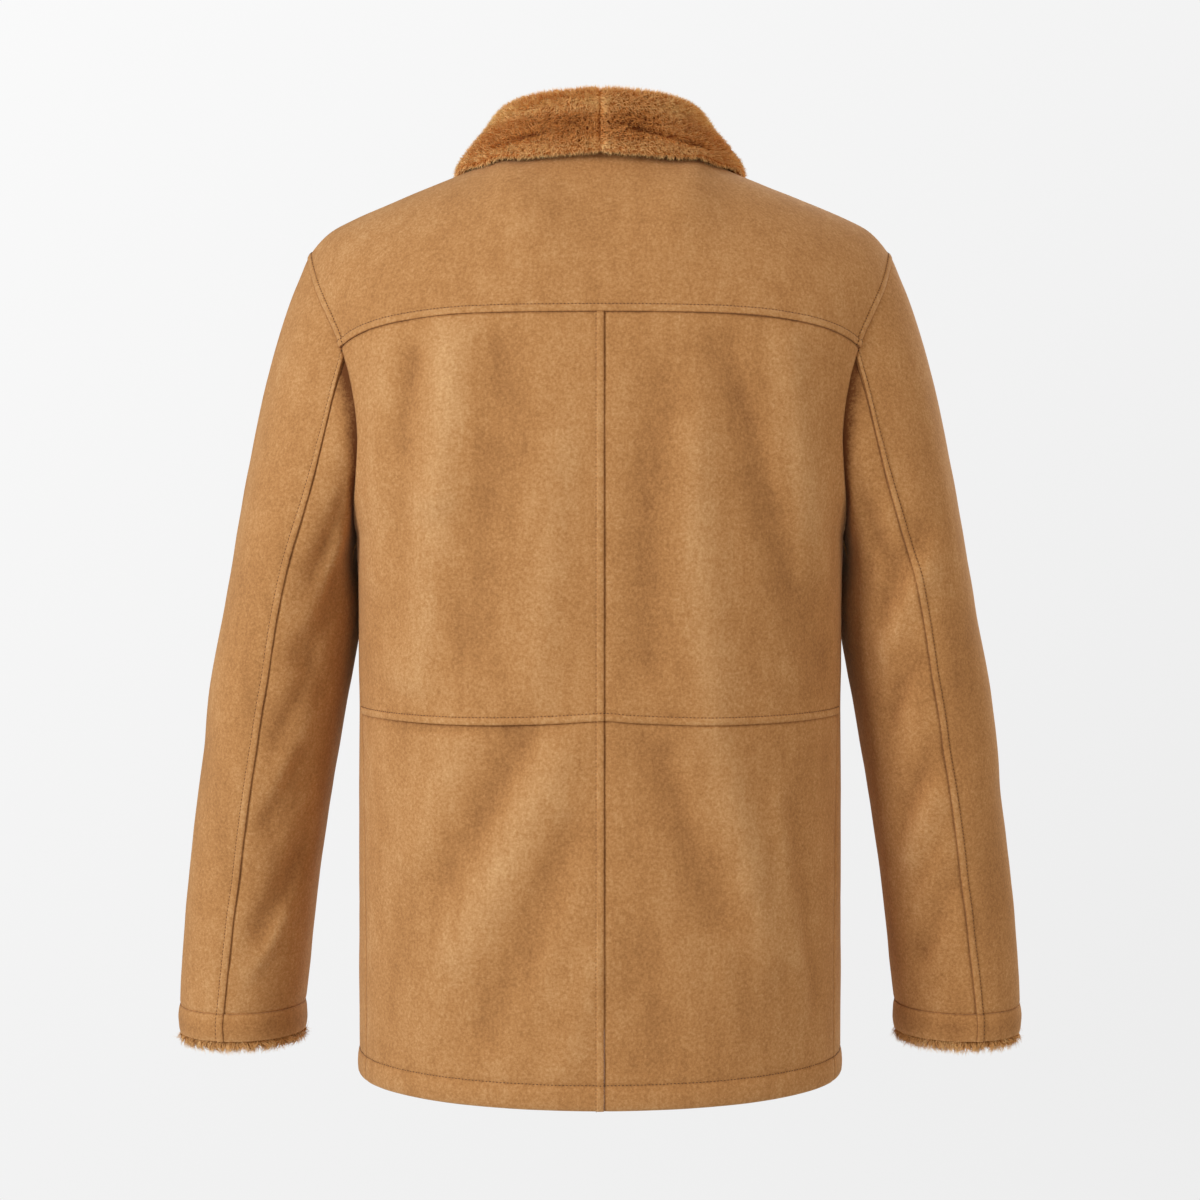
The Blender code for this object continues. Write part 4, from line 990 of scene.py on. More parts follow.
def respaced(values, lengths, near_start, near_end, count):
    """Each row of values read at set lengths near its two ends and at even steps between them."""
    found = []
    for row, along in zip(values, lengths):
        open_cloth = np.linspace(near_start[-1], along[-1] - near_end[-1], count)
        places = np.concatenate([near_start[:-1], open_cloth, along[-1] - near_end[-2::-1]])
        read_at = [np.interp(places, along, row[:, axis]) for axis in range(row.shape[1])]
        found.append(np.stack(read_at, axis=-1))
    return np.array(found)


def running_lengths(points, axis):
    """Each grid point's distance from the first row or column, along the cloth."""
    steps = np.linalg.norm(np.diff(points, axis=axis), axis=-1)
    start = np.zeros_like(np.take(steps, [0], axis=axis))
    return np.concatenate([start, np.cumsum(steps, axis=axis)], axis=axis)


class Panel:
    """A cut piece: its fine grid, its outward directions, and how far each point lies from each edge."""

    def __init__(self, surface, rows, columns, edges):
        up = np.linspace(rows[0], rows[1], max(12, int((rows[1] - rows[0]) / 2.0)))
        across = np.linspace(columns[0], columns[1], max(12, int((columns[1] - columns[0]) / 2.0)))
        points, out = surface.at(up, across)
        marks = np.stack(np.meshgrid(up, across, indexing="ij"), axis=-1)
        values = np.concatenate([points, out, marks], axis=-1)
        for axis, (start, end) in ((1, edges[2:]), (0, edges[:2])):
            turned = values if axis == 1 else values.transpose(1, 0, 2)
            lengths = running_lengths(turned[..., :3], 1)
            count = max(3, int((lengths[:, -1].mean() - start[-1] - end[-1]) / OPEN_STEP) + 1)
            turned = respaced(turned, lengths, start, end, count)
            values = turned if axis == 1 else turned.transpose(1, 0, 2)
        self.points, self.out = values[..., :3].copy(), unit(values[..., 3:6])
        self.up, self.across = values[..., 6], values[..., 7]
        rise, run = running_lengths(self.points, 0), running_lengths(self.points, 1)
        self.from_bottom, self.from_top = rise, rise[-1] - rise
        self.from_first, self.from_last = run, run[:, -1:] - run
        self.height = np.zeros(self.points.shape[:2])
        self.tone = np.zeros(self.points.shape[:2])


def drawn_in(edge, beside):
    """An edge moved half of a hair's gap toward the line of points beside it, square to itself."""
    along = unit(np.gradient(edge, axis=0))
    inward = beside - edge
    inward = inward - along * np.sum(inward * along, axis=1, keepdims=True)
    return edge + unit(inward) * SHOWN_GAP / 2


def shell_quads(row_count, column_count, closed_round):
    """Faces of a closed wall whose outer grid's points come first and its inner grid's after them."""
    index = np.arange(row_count * column_count).reshape(row_count, column_count)
    if closed_round:
        index = np.concatenate([index, index[:, :1]], axis=1)
    inner = index + row_count * column_count

    def between(a, b, c, d):
        return np.stack([a, b, c, d], axis=-1).reshape(-1, 4)

    outer_faces = between(index[:-1, :-1], index[:-1, 1:], index[1:, 1:], index[1:, :-1])
    inner_faces = between(inner[:-1, :-1], inner[1:, :-1], inner[1:, 1:], inner[:-1, 1:])
    rims = [between(index[i, :-1], index[i, 1:], inner[i, 1:], inner[i, :-1]) for i in (0, -1)]
    if not closed_round:
        rims += [between(index[:-1, j], index[1:, j], inner[1:, j], inner[:-1, j]) for j in (0, -1)]
    return outer_faces, inner_faces, np.concatenate(rims)


def shell_object(name, outer, inner, materials, attributes, closed_round=False):
    """A closed wall between two grids, in metres. Its last material is on the inner face."""
    outer_faces, inner_faces, rims = shell_quads(*outer.shape[:2], closed_round)
    quads = np.concatenate([outer_faces, rims, inner_faces])
    paints = np.zeros(len(quads), np.int32)
    paints[len(quads) - len(inner_faces) :] = len(materials) - 1
    points = np.concatenate([outer.reshape(-1, 3), inner.reshape(-1, 3)])
    data = bpy.data.meshes.new(name)
    data.from_pydata((points * MILLIMETRE).tolist(), [], quads.tolist())
    mesh = bmesh.new()
    mesh.from_mesh(data)
    bmesh.ops.recalc_face_normals(mesh, faces=mesh.faces)
    mesh.to_mesh(data)
    mesh.free()
    for paint in materials:
        data.materials.append(paint)
    data.polygons.foreach_set("material_index", paints)
    for key, values in attributes.items():
        kind, slot_name = ("FLOAT", "value") if values.ndim == 1 else ("FLOAT_VECTOR", "vector")
        data.attributes.new(key, kind, "POINT").data.foreach_set(slot_name, values.astype(np.float32).ravel())
    data.shade_smooth()
    data.set_sharp_from_angle(angle=math.radians(60))
    return add_object(name, data)


def on_both_faces(values):
    """The same values for a shell's outer points and then for its inner ones."""
    flat = values.reshape(-1, *values.shape[2:])
    return np.concatenate([flat, flat])


def cloth_object(name, panel, side, thickness=WALL, trim="bottom top first last"):
    """The panel's closed wall: suede outside and on its edges, the cloth's own pile inside."""
    points = panel.points
    for edge, line, beside in (("bottom", 0, 1), ("top", -1, -2)):
        if edge in trim:
            points[line] = drawn_in(points[line], points[beside])
    for edge, line, beside in (("first", 0, 1), ("last", -1, -2)):
        if edge in trim:
            points[:, line] = drawn_in(points[:, line], points[:, beside])
    mirror = np.array([side, 1.0, 1.0])
    thickness = np.broadcast_to(thickness, points.shape[:2])[..., None]
    outer = (points + panel.out * panel.height[..., None]) * mirror
    inner = (points - panel.out * thickness) * mirror
    panel.outer, panel.mirror = outer, mirror
    # The outer points' tone, with its painted light and shade, and a darker value for the inner points.
    wear_and_painted_light = np.concatenate([panel.tone.ravel(), np.full(panel.tone.size, INSIDE_EDGE_DARKENING)])
    return shell_object(name, outer, inner, [SUEDE, REVERSE], {"wear_and_painted_light": wear_and_painted_light})


back_surface, front_surface = Surface(back_half, back_out), Surface(front_half, front_out)
print("half of the back is", round(back_surface.across[-1]), "mm across")

# %% [markdown]
# ## Seams
# The jacket's seams are lapped: one cloth's cut edge lies on the other, and a row of stitches holds it. So an
# edge that laps stands up as a flat strip, rolls off at its cut, and dips at its thread. The cloth below
# sinks a little, and both pucker softly beside the stitches. The strip is a little lighter, and painted shade
# darkens its cut, its line of thread and the cloth just below it.

# %% Laps, hem and puckers


def lap(distance):
    """How high a lapped edge stands at a distance from its cut."""
    strip = LAP_HEIGHT * (1 - ease((distance - STRIP_WIDTH + 1.2) / 2.4))
    rolled_edge = 0.6 * (1 - ease(distance / 1.6))
    return strip - rolled_edge - 0.45 * fade(distance - STRIP_WIDTH, 1.0)


def lap_tone(distance):
    """The lap's tone: a paler strip, and painted shade at its cut and along its line of thread."""
    strip = 1 - ease((distance - STRIP_WIDTH + 0.5) / 1.5)
    stitched = fade(distance - STRIP_WIDTH, 0.8)
    # Painted shade darkens the cut and the sunk line of thread.
    return 0.14 * strip - 1.1 * (1 - ease(distance / 0.8)) - 0.35 * stitched


def under_lap(distance):
    """How far the cloth below a lap sinks."""
    return -0.5 * (1 - ease(distance / 3.0))


def turned_edge(distance, width):
    """A turned and stitched edge: full between its fold and its stitches, which sink in."""
    share = np.clip(distance / width, 0, 1)
    full = 1.1 * np.sin(np.pi * share) ** 0.7 * (distance < width)
    return full - 0.6 * fade(distance - width, 1.3) - 0.9 * (1 - ease(distance / 1.5))


def puckers(points, distance, size=15.0, reach=9.0, height=0.4):
    """Small waves along a seam that fade with distance from it."""
    return height * ripple(points, size, 7.3) * np.exp(-np.maximum(distance, 0.0) / reach)


# The two noises of worn cloth: how high each is, how large its features are, and its place in the noise.
WORN_NOISES = ((0.55, 62.0, 3.1), (0.22, 21.0, 11.7))


def relaxed(panel):
    """The slight unevenness of cloth that was sewn and worn."""
    return sum(height * ripple(panel.points, size, place) for height, size, place in WORN_NOISES)


def row_share(surface, panel):
    """Each point's place among the coarse rows, as a number of rows."""
    return np.interp(panel.up, surface.up, np.arange(len(surface.up)))


def column_share(surface, panel):
    """Each point's share of the way across the coarse columns."""
    return np.interp(panel.across, surface.across, np.linspace(0, 1, len(surface.across)))


def add_folds(panel, heights):
    """Lift the panel by its folds: their tops are painted paler and their hollows darker, as light and shade.
    """
    panel.points += panel.out * heights[..., None]
    # Painted light on the fold tops and painted shade in the fold hollows.
    panel.tone += np.clip(heights / 9.0, -0.5, 0.4)


print("lap", STRIP_WIDTH, "mm wide and", LAP_HEIGHT, "mm high")

# %% [markdown]
# ## The back
# Two lower panels, two upper ones and a yoke over both shoulders, as the cutter has them. The left panels'
# edges lap over the right's at the centre, the upper panels lap over the lower at the waist, and the yoke
# laps over them all. Only the yoke's edges lap over the sleeve heads. Below its corners the back's edge just
# lies over the sleeve, with no strip and no thread.

# %% Back panels and yoke
stitch_lines = {"back": [], "front": [], "sleeve_left": [], "sleeve_right": []}
pieces = {}


def keep_stitches(where, points, normals, sunk=0.0):
    """Remember a line for the thread: points on the finished cloth, with the cloth's direction there."""
    stitch_lines[where].append((points + normals * (0.15 - sunk), normals))


def column_line(panel, distances, at, grids=None):
    """The line down a panel at a set distance from one of its side edges."""
    points, normals = [], []
    for along, outer, out in zip(distances, *(grids or (panel.outer, panel.out))):
        order = np.argsort(along)
        points.append([np.interp(at, along[order], outer[order, axis]) for axis in range(3)])
        normals.append([np.interp(at, along[order], out[order, axis]) for axis in range(3)])
    return np.array(points), unit(np.array(normals)) * panel.mirror


def row_line(panel, distances, at):
    """The line across a panel at a set distance from its lower or upper edge."""
    turned = [grid.transpose(1, 0, 2) for grid in (panel.outer, panel.out)]
    return column_line(panel, distances.T, at, turned)


def armhole_share(row_at):
    """None at the underarm, whole a few rows above it."""
    return ease((row_at - UNDERARM_ROW - 1) / 3.0)


def hem_wall(panel):
    """The wall's thickness, double where the hem is turned up."""
    return WALL + (HEM_WALL - WALL) * (1 - ease((panel.from_bottom - HEM_DEPTH) / 4.0))


def add_edge(panel, distance, share=1.0):
    """A lapped edge of the panel, at the given distances from it."""
    panel.height += lap(distance) * share
    panel.tone += lap_tone(distance) * share
    panel.height += puckers(panel.points, np.abs(distance - STRIP_WIDTH)) * share


def add_under(panel, distance, share=1.0):
    """An edge that goes under a neighbour's lap, sunk and darkened with the lap's painted shadow."""
    panel.height += (under_lap(distance) + puckers(panel.points, distance, 14.0, 10.0, 0.45)) * share
    # Painted shadow of the lap on the cloth beside it.
    panel.tone -= 0.55 * (1 - ease(distance / 2.2)) * share


def add_hem(panel):
    """A deep hem, turned up and stitched: darker with painted shade at its thread, and lighter at its fold."""
    from_thread = panel.from_bottom - HEM_DEPTH
    panel.height += turned_edge(panel.from_bottom, HEM_DEPTH)
    panel.height += puckers(panel.points, np.abs(from_thread), 13.0, 8.0, 0.5)
    # Painted shade along the sunk line of thread.
    panel.tone -= 0.32 * fade(from_thread, 1.6)
    panel.tone += 0.25 * (1 - ease(panel.from_bottom / 3.0))


def smooth_across(panel, weight, passes):
    """Kinks across a panel made smooth, by the mean of each point's two neighbours in its row."""
    for _ in range(passes):
        for values in (panel.points, panel.out):
            middle = (values[:, :-2] + values[:, 2:]) / 2
            values[:, 1:-1] += (middle - values[:, 1:-1]) * weight[:, 1:-1, None]
    panel.out = unit(panel.out)


def back_panel(surface, rows, side, edges):
    """A panel of the back between two of the coarse rows, with its folds, still without its laps."""
    panel = Panel(surface, (surface.up[rows[0]], surface.up[rows[1]]), (0, surface.across[-1]), edges)
    add_folds(panel, body_folds(panel.points, 1, side, column_share(surface, panel)))
    panel.height += relaxed(panel)
    add_under(panel, panel.from_last)
    return panel


SAG_MIDDLE, SAG_HALF_WIDTH, SAG_REACH = 105.0, 62.0, 6.5
for side, name in SIDES:
    points = back_half.copy()
    points[:, 0, 0] = -side * CENTRE_LAP
    points[:, 1, 0] = CENTRE_LAP if side == 1 else 3 * CENTRE_LAP
    surface = Surface(points, back_out)
    middle = LAP_EDGE if side == 1 else PLAIN_EDGE
    low = back_panel(surface, (0, WAIST_ROW), side, (HEM_EDGE, PLAIN_EDGE, middle, PLAIN_EDGE))
    high = back_panel(surface, (WAIST_ROW, YOKE_ROW), side, (LAP_EDGE, PLAIN_EDGE, middle, LAP_EDGE))
    for panel in (low, high):
        if side == 1:
            add_edge(panel, panel.from_first)
        else:
            add_under(panel, panel.from_first)
        add_under(panel, panel.from_top)
    add_hem(low)
    add_edge(high, high.from_bottom)
    if side == 1:
        # The waist seam sags a little on the left, and painted shade darkens the cloth below its lap.
        sag = fade(low.points[..., 0] - SAG_MIDDLE, SAG_HALF_WIDTH, 4) * fade(low.from_top, SAG_REACH)
        low.tone -= 0.55 * sag
        low.height -= 0.8 * sag
    wall = hem_wall(low)
    pieces[f"back_lower_{name}"] = cloth_object(f"lower_back_{name}", low, side, wall, "top first last")
    pieces[f"back_upper_{name}"] = cloth_object(f"upper_back_{name}", high, side)
    keep_stitches("back", *row_line(low, low.from_bottom, HEM_DEPTH))
    keep_stitches("back", *row_line(high, high.from_bottom, STRIP_WIDTH))
    if side == 1:
        for panel in (low, high):
            keep_stitches("back", *column_line(panel, panel.from_first, STRIP_WIDTH), sunk=0.3)

yoke_rows = slice(YOKE_ROW - 2, None)
left_half, out_half = back_half[yoke_rows], back_out[yoke_rows]
flip = np.array([-1.0, 1.0, 1.0])
yoke_surface = Surface(
    np.concatenate([(left_half * flip)[:, ::-1], left_half[:, 1:]], axis=1),
    np.concatenate([(out_half * flip)[:, ::-1], out_half[:, 1:]], axis=1),
)
yoke = Panel(
    yoke_surface, (yoke_surface.up[2], yoke_surface.up[-1]), (0, yoke_surface.across[-1]),
    (LAP_EDGE, PLAIN_EDGE, LAP_EDGE, LAP_EDGE),
)
BESIDE_COLLAR, BESIDE_COLLAR_WIDTH = 84, 34
beside_collar = 0.5 * fade(np.abs(yoke.points[..., 0]) - BESIDE_COLLAR, BESIDE_COLLAR_WIDTH)
smooth_across(yoke, beside_collar * ease(yoke.from_top / 5.0) * ease(yoke.from_bottom / 12.0), 30)
share = np.interp(yoke.across, yoke_surface.across, np.abs(np.linspace(-1, 1, len(yoke_surface.across))))
is_left = yoke.points[..., 0] > 0
folds = np.where(is_left, body_folds(yoke.points, 1, 1, share), body_folds(yoke.points, 1, -1, share))
add_folds(yoke, folds * ease(np.abs(yoke.points[..., 0]) / 20.0))
yoke.height += relaxed(yoke)
for distance in (yoke.from_bottom, yoke.from_first, yoke.from_last):
    add_edge(yoke, distance)
pieces["back_yoke"] = cloth_object("yoke", yoke, 1)
keep_stitches("back", *row_line(yoke, yoke.from_bottom, STRIP_WIDTH))
for distance in (yoke.from_first, yoke.from_last):
    keep_stitches("back", *column_line(yoke, distance, STRIP_WIDTH))
print("back pieces:", len(pieces))

# %% [markdown]
# ## The fronts
# The photograph hides them, so they are finished plainly: a front edge turned in and stitched, the left
# lapping over the right down the middle, and the same hem as the back.

# %% Front panels
FRONT_EDGE_WIDTH = 8.0


def front_step(points, side):
    """The left front lies over the right: one is eased outward where they overlap, the other inward."""
    return side * FRONT_STEP * (1 - ease((points[..., 0] - FRONT_OVERLAP) / 45.0))


for side, name in SIDES:
    panel = Panel(
        front_surface, (0, front_surface.up[-1]), (0, front_surface.across[-1]),
        (HEM_EDGE, PLAIN_EDGE, LAP_EDGE, LAP_EDGE),
    )
    folds = body_folds(panel.points, -1, side, column_share(front_surface, panel))
    away = ease((panel.points[..., 0] - FRONT_OVERLAP) / 30.0)
    panel.points += panel.out * front_step(panel.points, side)[..., None]
    add_folds(panel, folds * away)
    clear = ease((panel.points[..., 0] - FRONT_OVERLAP) / 20.0)
    panel.height += relaxed(panel) * (0.3 + 0.7 * clear)
    beside_sleeve = armhole_share(row_share(front_surface, panel))
    add_edge(panel, panel.from_last, beside_sleeve)
    add_under(panel, panel.from_last, 1 - beside_sleeve)
    if side == 1:
        panel.height += turned_edge(panel.from_first, FRONT_EDGE_WIDTH) * 0.6
        add_hem(panel)
    else:
        before = panel.height.copy()
        add_hem(panel)
        panel.height = before + (panel.height - before) * clear
    thicker = hem_wall(panel) - WALL
    wall = WALL + thicker * (clear if side == 1 else 1.0)
    pieces[f"front_{name}"] = cloth_object(f"front_panel_{name}", panel, side, wall, "top last")
    keep_stitches("front", *row_line(panel, panel.from_bottom, HEM_DEPTH))
    if side == 1:
        keep_stitches("front", *column_line(panel, panel.from_first, FRONT_EDGE_WIDTH))
        left_front = panel
    line, normals = column_line(panel, panel.from_last, STRIP_WIDTH)
    above = np.array([row.mean() for row in row_share(front_surface, panel)]) > UNDERARM_ROW + 3
    keep_stitches("front", line[above], normals[above])
print("front pieces made")

# %% [markdown]
# ## Sleeves and cuffs
# Each sleeve has a top and an under piece. The top laps over the under at the elbow seam, down the back of
# the arm and on through the cuff band, which is a strip of the same suede. The cloth still lies on the
# solids' form, but the seam is drawn where the photograph has it, up to 18 mm nearer to the body.

# %% Sleeves and cuff bands
WRAP = 3
# How far the elbow seam lies in from the solids' own, toward the body, as the photograph shows it.
SEAM_SWING = table(
    "z swing",
    [(-760, 8), (-661, 12), (-476, 17), (-377, 18), (-320, 18), (-274, 16), (-236, 12), (-190, 5), (-150, 0)],
)


def swing_angles(turns, grid):
    """For each row of the sleeve, the turn between the solids' elbow seam and the seam that is shown."""
    elbow = WRAP + ELBOW_COLUMN
    found = []
    for row in grid:
        fine = np.linspace(turns[elbow], turns[elbow] - 1.1, 111)
        inward = row[elbow, 0] - smooth_values(turns, row[:, :1], fine)[:, 0]
        wanted = float(read(SEAM_SWING, "swing", "z", row[elbow, 2]))
        found.append(turns[elbow] - fine[np.argmax(inward >= wanted)])
    return np.array(found)


columns = len(sleeve_turn)
wrapped = np.arange(-WRAP, columns + WRAP + 1)
turn_at = sleeve_turn[wrapped % columns] - 2 * math.pi * (wrapped // columns)
swing = swing_angles(-turn_at, sleeve[:, wrapped % columns])
read_at = -turn_at - swing[:, None] * ease(1 - np.abs(turn_at - sleeve_turn[ELBOW_COLUMN]) / 1.45)
sleeve_grids = [
    np.array([smooth_values(-turn_at, row, at) for row, at in zip(values[:, wrapped % columns], read_at)])
    for values in (sleeve, sleeve_out)
]
sleeve_surface = Surface(sleeve_grids[0], unit(sleeve_grids[1]))
elbow_at = sleeve_surface.across[WRAP + ELBOW_COLUMN]
inseam_at = sleeve_surface.across[WRAP], sleeve_surface.across[WRAP + columns]
rows_up = (0, sleeve_surface.up[-1])
CUFF_HEIGHTS = np.array([0.0, 0.6, 1.5, 3.0, 5.5, 8.5, 12.0, 15.5, 18.5, 20.5, 22.0, 23.0])
CUFF_BULGE = 1.9


SLEEVE_RADIUS = 60.0
UNDERARM_CLEAR, UNDERARM_MIDDLE, UNDERARM_REACH = 2.2, -350.0, 62.0


def sleeve_panel(across, edges, side):
    """A piece of the sleeve with its folds, whose turns are read as lengths round a sleeve of 60 mm radius."""
    panel = Panel(sleeve_surface, rows_up, across, edges)
    turn = np.interp(panel.across, sleeve_surface.across, turn_at)
    share = panel.up / sleeve_surface.up[-1]
    total = np.zeros(panel.points.shape[:2])
    degrees = np.degrees(turn)
    around = np.radians(np.where(degrees < -180, degrees + 360, degrees)) * SLEEVE_RADIUS
    for rows in (SLEEVE_FOLDS, SLEEVE_CREASES):
        total += fold_heights(rows, "side", side, around, panel.points[..., 2], math.radians(SLEEVE_RADIUS))
    row_at = np.interp(panel.up, sleeve_surface.up, np.linspace(0, 1, len(sleeve_surface.up)))
    add_folds(panel, total * ease(row_at / 0.15) * ease((1 - row_at) / 0.1))
    panel.height += relaxed(panel) * (0.35 + 0.65 * ease(share / 0.1))
    add_under(panel, panel.from_bottom)
    # Under the arm the sleeve rests against the back, which it only just clears in the solids.
    inner_side = ease((-panel.out[..., 0] - 0.2) / 0.5)
    near = fade(panel.points[..., 2] - UNDERARM_MIDDLE, UNDERARM_REACH, 4)
    panel.points[..., 0] -= UNDERARM_CLEAR * inner_side * near
    return panel


HOLLOW_DEPTH, HOLLOW_PAINTED_SHADE = 1.7, 1.9
for side, name in SIDES:
    top = sleeve_panel((elbow_at, inseam_at[1]), (PLAIN_EDGE, PLAIN_EDGE, LAP_EDGE, PLAIN_EDGE), side)
    under = sleeve_panel((inseam_at[0], elbow_at), (PLAIN_EDGE,) * 4, side)
    add_edge(top, top.from_first)
    add_under(under, under.from_last)
    # The under sleeve sinks behind the back's edge, in an uneven hollow darkened with painted shade.
    reach = 13.0 + 10.0 * ease((under.points[..., 2] + 300.0) / 80.0)
    hollow = fade(under.from_bottom, reach) * (1.0 + 0.35 * ripple(under.points, 34.0, 6.0))
    under.height -= HOLLOW_DEPTH * hollow
    under.tone -= HOLLOW_PAINTED_SHADE * hollow
    # At the cuff seam both sleeve pieces sink, and painted shade darkens the groove.
    for panel in (top, under):
        panel.height -= 0.7 * (1 - ease(panel.from_top / 3.5))
        panel.tone -= 0.6 * (1 - ease(panel.from_top / 1.2))
    pieces[f"sleeve_top_{name}"] = cloth_object(f"top_sleeve_{name}", top, side)
    pieces[f"sleeve_under_{name}"] = cloth_object(f"under_sleeve_{name}", under, side)
    keep_stitches(f"sleeve_{name}", *column_line(top, top.from_first, STRIP_WIDTH))

    round_turn = np.concatenate([sleeve_turn[ELBOW_COLUMN:], sleeve_turn[: ELBOW_COLUMN + 1] - 2 * math.pi])
    start, end = round_turn[0] + swing[-1], round_turn[-1] + swing[-1]
    near = LAP_EDGE / 54.0
    turns = np.concatenate([start - near, np.linspace(start - near[-1], end, 72)[1:]])
    points = np.array([sleeve_ring(turns, CUFF_TOP - depth) for depth in CUFF_HEIGHTS])
    out = np.array([ring_normals(turns, CUFF_TOP) for _ in CUFF_HEIGHTS])
    run = running_lengths(points, 1)
    band = SimpleNamespace(points=points, out=out, from_first=run)
    share = (CUFF_HEIGHTS / CUFF_HEIGHTS[-1])[:, None]
    band.height = CUFF_BULGE * np.sin(np.pi * np.clip(share, 0.02, 0.98)) ** 0.55 - 0.2
    band.height = band.height + 0.5 * ripple(band.points, 9.0, 5.5) * np.sin(np.pi * share)
    # The band is darker across its middle, and painted shade darkens its top edge at the cuff seam.
    band.tone = -0.35 * np.sin(np.pi * share) - 0.5 * (1 - ease(share / 0.08)) + 0 * run
    add_edge(band, band.from_first)
    pieces[f"cuff_{name}"] = cloth_object(f"cuff_band_{name}", band, side, WALL, "bottom first last")
    keep_stitches(f"sleeve_{name}", *column_line(band, band.from_first, STRIP_WIDTH))
print("cloth pieces:", len(pieces))

# %% [markdown]
# ## Collar
# A wide fur collar in two halves, joined at centre back. It stands round the neck, turns over a soft fold and
# falls to an uneven edge. The solids hold its full pile. Here its core is thinner, and the strands that grow
# from it, in the next cell but one, fill it out again. Where the real pile parts, at the seam and in two
# creases, the core dips and the pile leans away on both sides.

# %% Collar cores
COLLAR = table(
    "turn fold_out fold_up edge_out edge_up edge_back_turn clear",
    [
        (0, -1, 46, 14, -10, 0, 2.0),
        (30, -4, 44, 17, -11, 0, 2.0),
        (60, -9, 42, 25, -11, 0, 2.6),
        (90, -12, 39, 34, -10, 0, 2.6),
        (115, -12, 38, 39, -22, 4, 4.2),
        (140, -9, 40, 41, -42, 12, 4.2),
        (165, -6, 37, 40, -54, 24, 2.0),
        (180, -5, 35, 38, -56, 34, 2.0),
    ],
)
COLLAR_BASE, STAND_LEAN = np.array([-5.6, 1.0]), np.array([-2.0, 0.0])
FOLD_RADIUS, FOLD_STEPS = 6.6, 5
DOWN_FALL = (0.3, 0.6, 0.86, 1.0)
PILES = np.array([9.0] * 2 + [10.0] * FOLD_STEPS + [11.0, 11.0, 10.1, 5.0])
COLLAR_END, LAPPED_FRONT_TURN = 6.0, 120.0
COLLAR_STATIONS = 19
# How deep the strands fill below the solid's pile, and how thin the core may get.
PILE_DEPTH, CORE_LEAST = 3.6 * 0.90, 0.6
BACK_OF_NECK = 20
# Where the turned-over fold and the falling edge start, as shares of the way from the collar's base.
FOLD_SHARE, EDGE_SHARE = 0.51, 0.84
# How much shorter than the solid's edge the core stops, because the pile hangs past it.
CORE_SHORT = table("turn short", [(0, 10.5), (30, 8.0), (60, 4.4), (90, 2.6), (180, 2.6)])
# Darker places on the back of the collar, where the pile lies away from the light.
FUR_TONES = table(
    "x z half_width half_height tone",
    [
        (30, 9, 34, 11, -0.50),
        (-26, 6, 30, 15, -0.52),
        (74, -3, 22, 7, -0.20),
        (-78, -4, 22, 8, -0.22),
        (46, 22, 18, 6, 0.12),
        (-52, 20, 18, 7, 0.14),
    ],
)
PARTINGS = table(
    "x0 z0 x1 z1 width depth",
    [
        (84, -8, 62, -3.5, 1.3, 1.7),
        (62, -3.5, 43, -1.0, 1.3, 1.9),
        (-25, 2.0, -56, -3.0, 1.3, 2.6),
        (-56, -3.0, -84, -9.0, 1.4, 2.6),
    ],
)


def body_tree():
    """The outside of half of the body, to measure how far a point lies from it."""
    points, faces = [], []
    for grid, outward in ((back_half, False), (front_half, True)):
        start, (rows, columns) = len(points), grid.shape[:2]
        points += [Vector(point) for point in grid.reshape(-1, 3)]
        for i in range(rows - 1):
            for j in range(columns - 1):
                at = start + i * columns + j
                face = (at, at + 1, at + columns + 1, at + columns)
                faces.append(face if outward else face[::-1])
    return BVHTree.FromPolygons(points, faces)


def collar_section(turn):
    """The collar's middle line in one section: up the stand, round the fold and down the fall."""
    fold = np.array([read(COLLAR, "fold_out", "turn", turn), read(COLLAR, "fold_up", "turn", turn)])
    edge = np.array([read(COLLAR, "edge_out", "turn", turn), read(COLLAR, "edge_up", "turn", turn)])
    centre = fold - np.array([0.0, FOLD_RADIUS])
    fall = unit(edge - centre)
    start = math.atan2(fall[0], -fall[1])
    stand_top = centre + np.array([-FOLD_RADIUS, 0.0])
    line = [COLLAR_BASE, (COLLAR_BASE + stand_top) / 2 + STAND_LEAN]
    for amount in np.linspace(0, 1, FOLD_STEPS):
        angle = math.pi + (start - math.pi) * amount
        line.append(centre + FOLD_RADIUS * np.array([math.cos(angle), math.sin(angle)]))
    fall_top = line[-1]
    return np.array(line + [fall_top + (edge - fall_top) * amount for amount in DOWN_FALL])


def collar_middle():
    """The middle line of half of the collar in every section, in rows from the stand to the fall's edge."""
    surface = body_tree()
    down_fall = np.array([0.0] * (2 + FOLD_STEPS) + list(DOWN_FALL))
    sections = []
    for turn in np.linspace(0, 180, COLLAR_STATIONS):
        turned = turn - read(COLLAR, "edge_back_turn", "turn", turn) * down_fall
        points = []
        for (out, up), place, share, pile in zip(collar_section(turn), turned, down_fall, PILES):
            at = neck_point(np.array(float(place)))
            outward = unit(np.array([at[0] / NECK_HALF_WIDTH**2, at[1] / NECK_HALF_DEPTH**2, 0.0]))
            point = np.array([at[0], at[1], 0.0]) + outward * out
            point[2] = neck_point(np.array(float(turn)))[2] + up
            if share > 0:
                least = pile / 2 + read(COLLAR, "clear", "turn", turn)
                least = least + FRONT_STEP * (place > LAPPED_FRONT_TURN)
                spot, normal, _, _ = surface.find_nearest(Vector(point))
                point = point + np.array(normal) * max(0.0, least - (Vector(point) - spot).dot(normal))
            points.append(point)
        sections.append(points)
    middle = np.array(sections).transpose(1, 0, 2)
    middle[:, 0, 0] = SEAM_GAP / 2
    middle[:, -1, 0] = np.maximum(middle[:, -1, 0], COLLAR_END)
    return middle


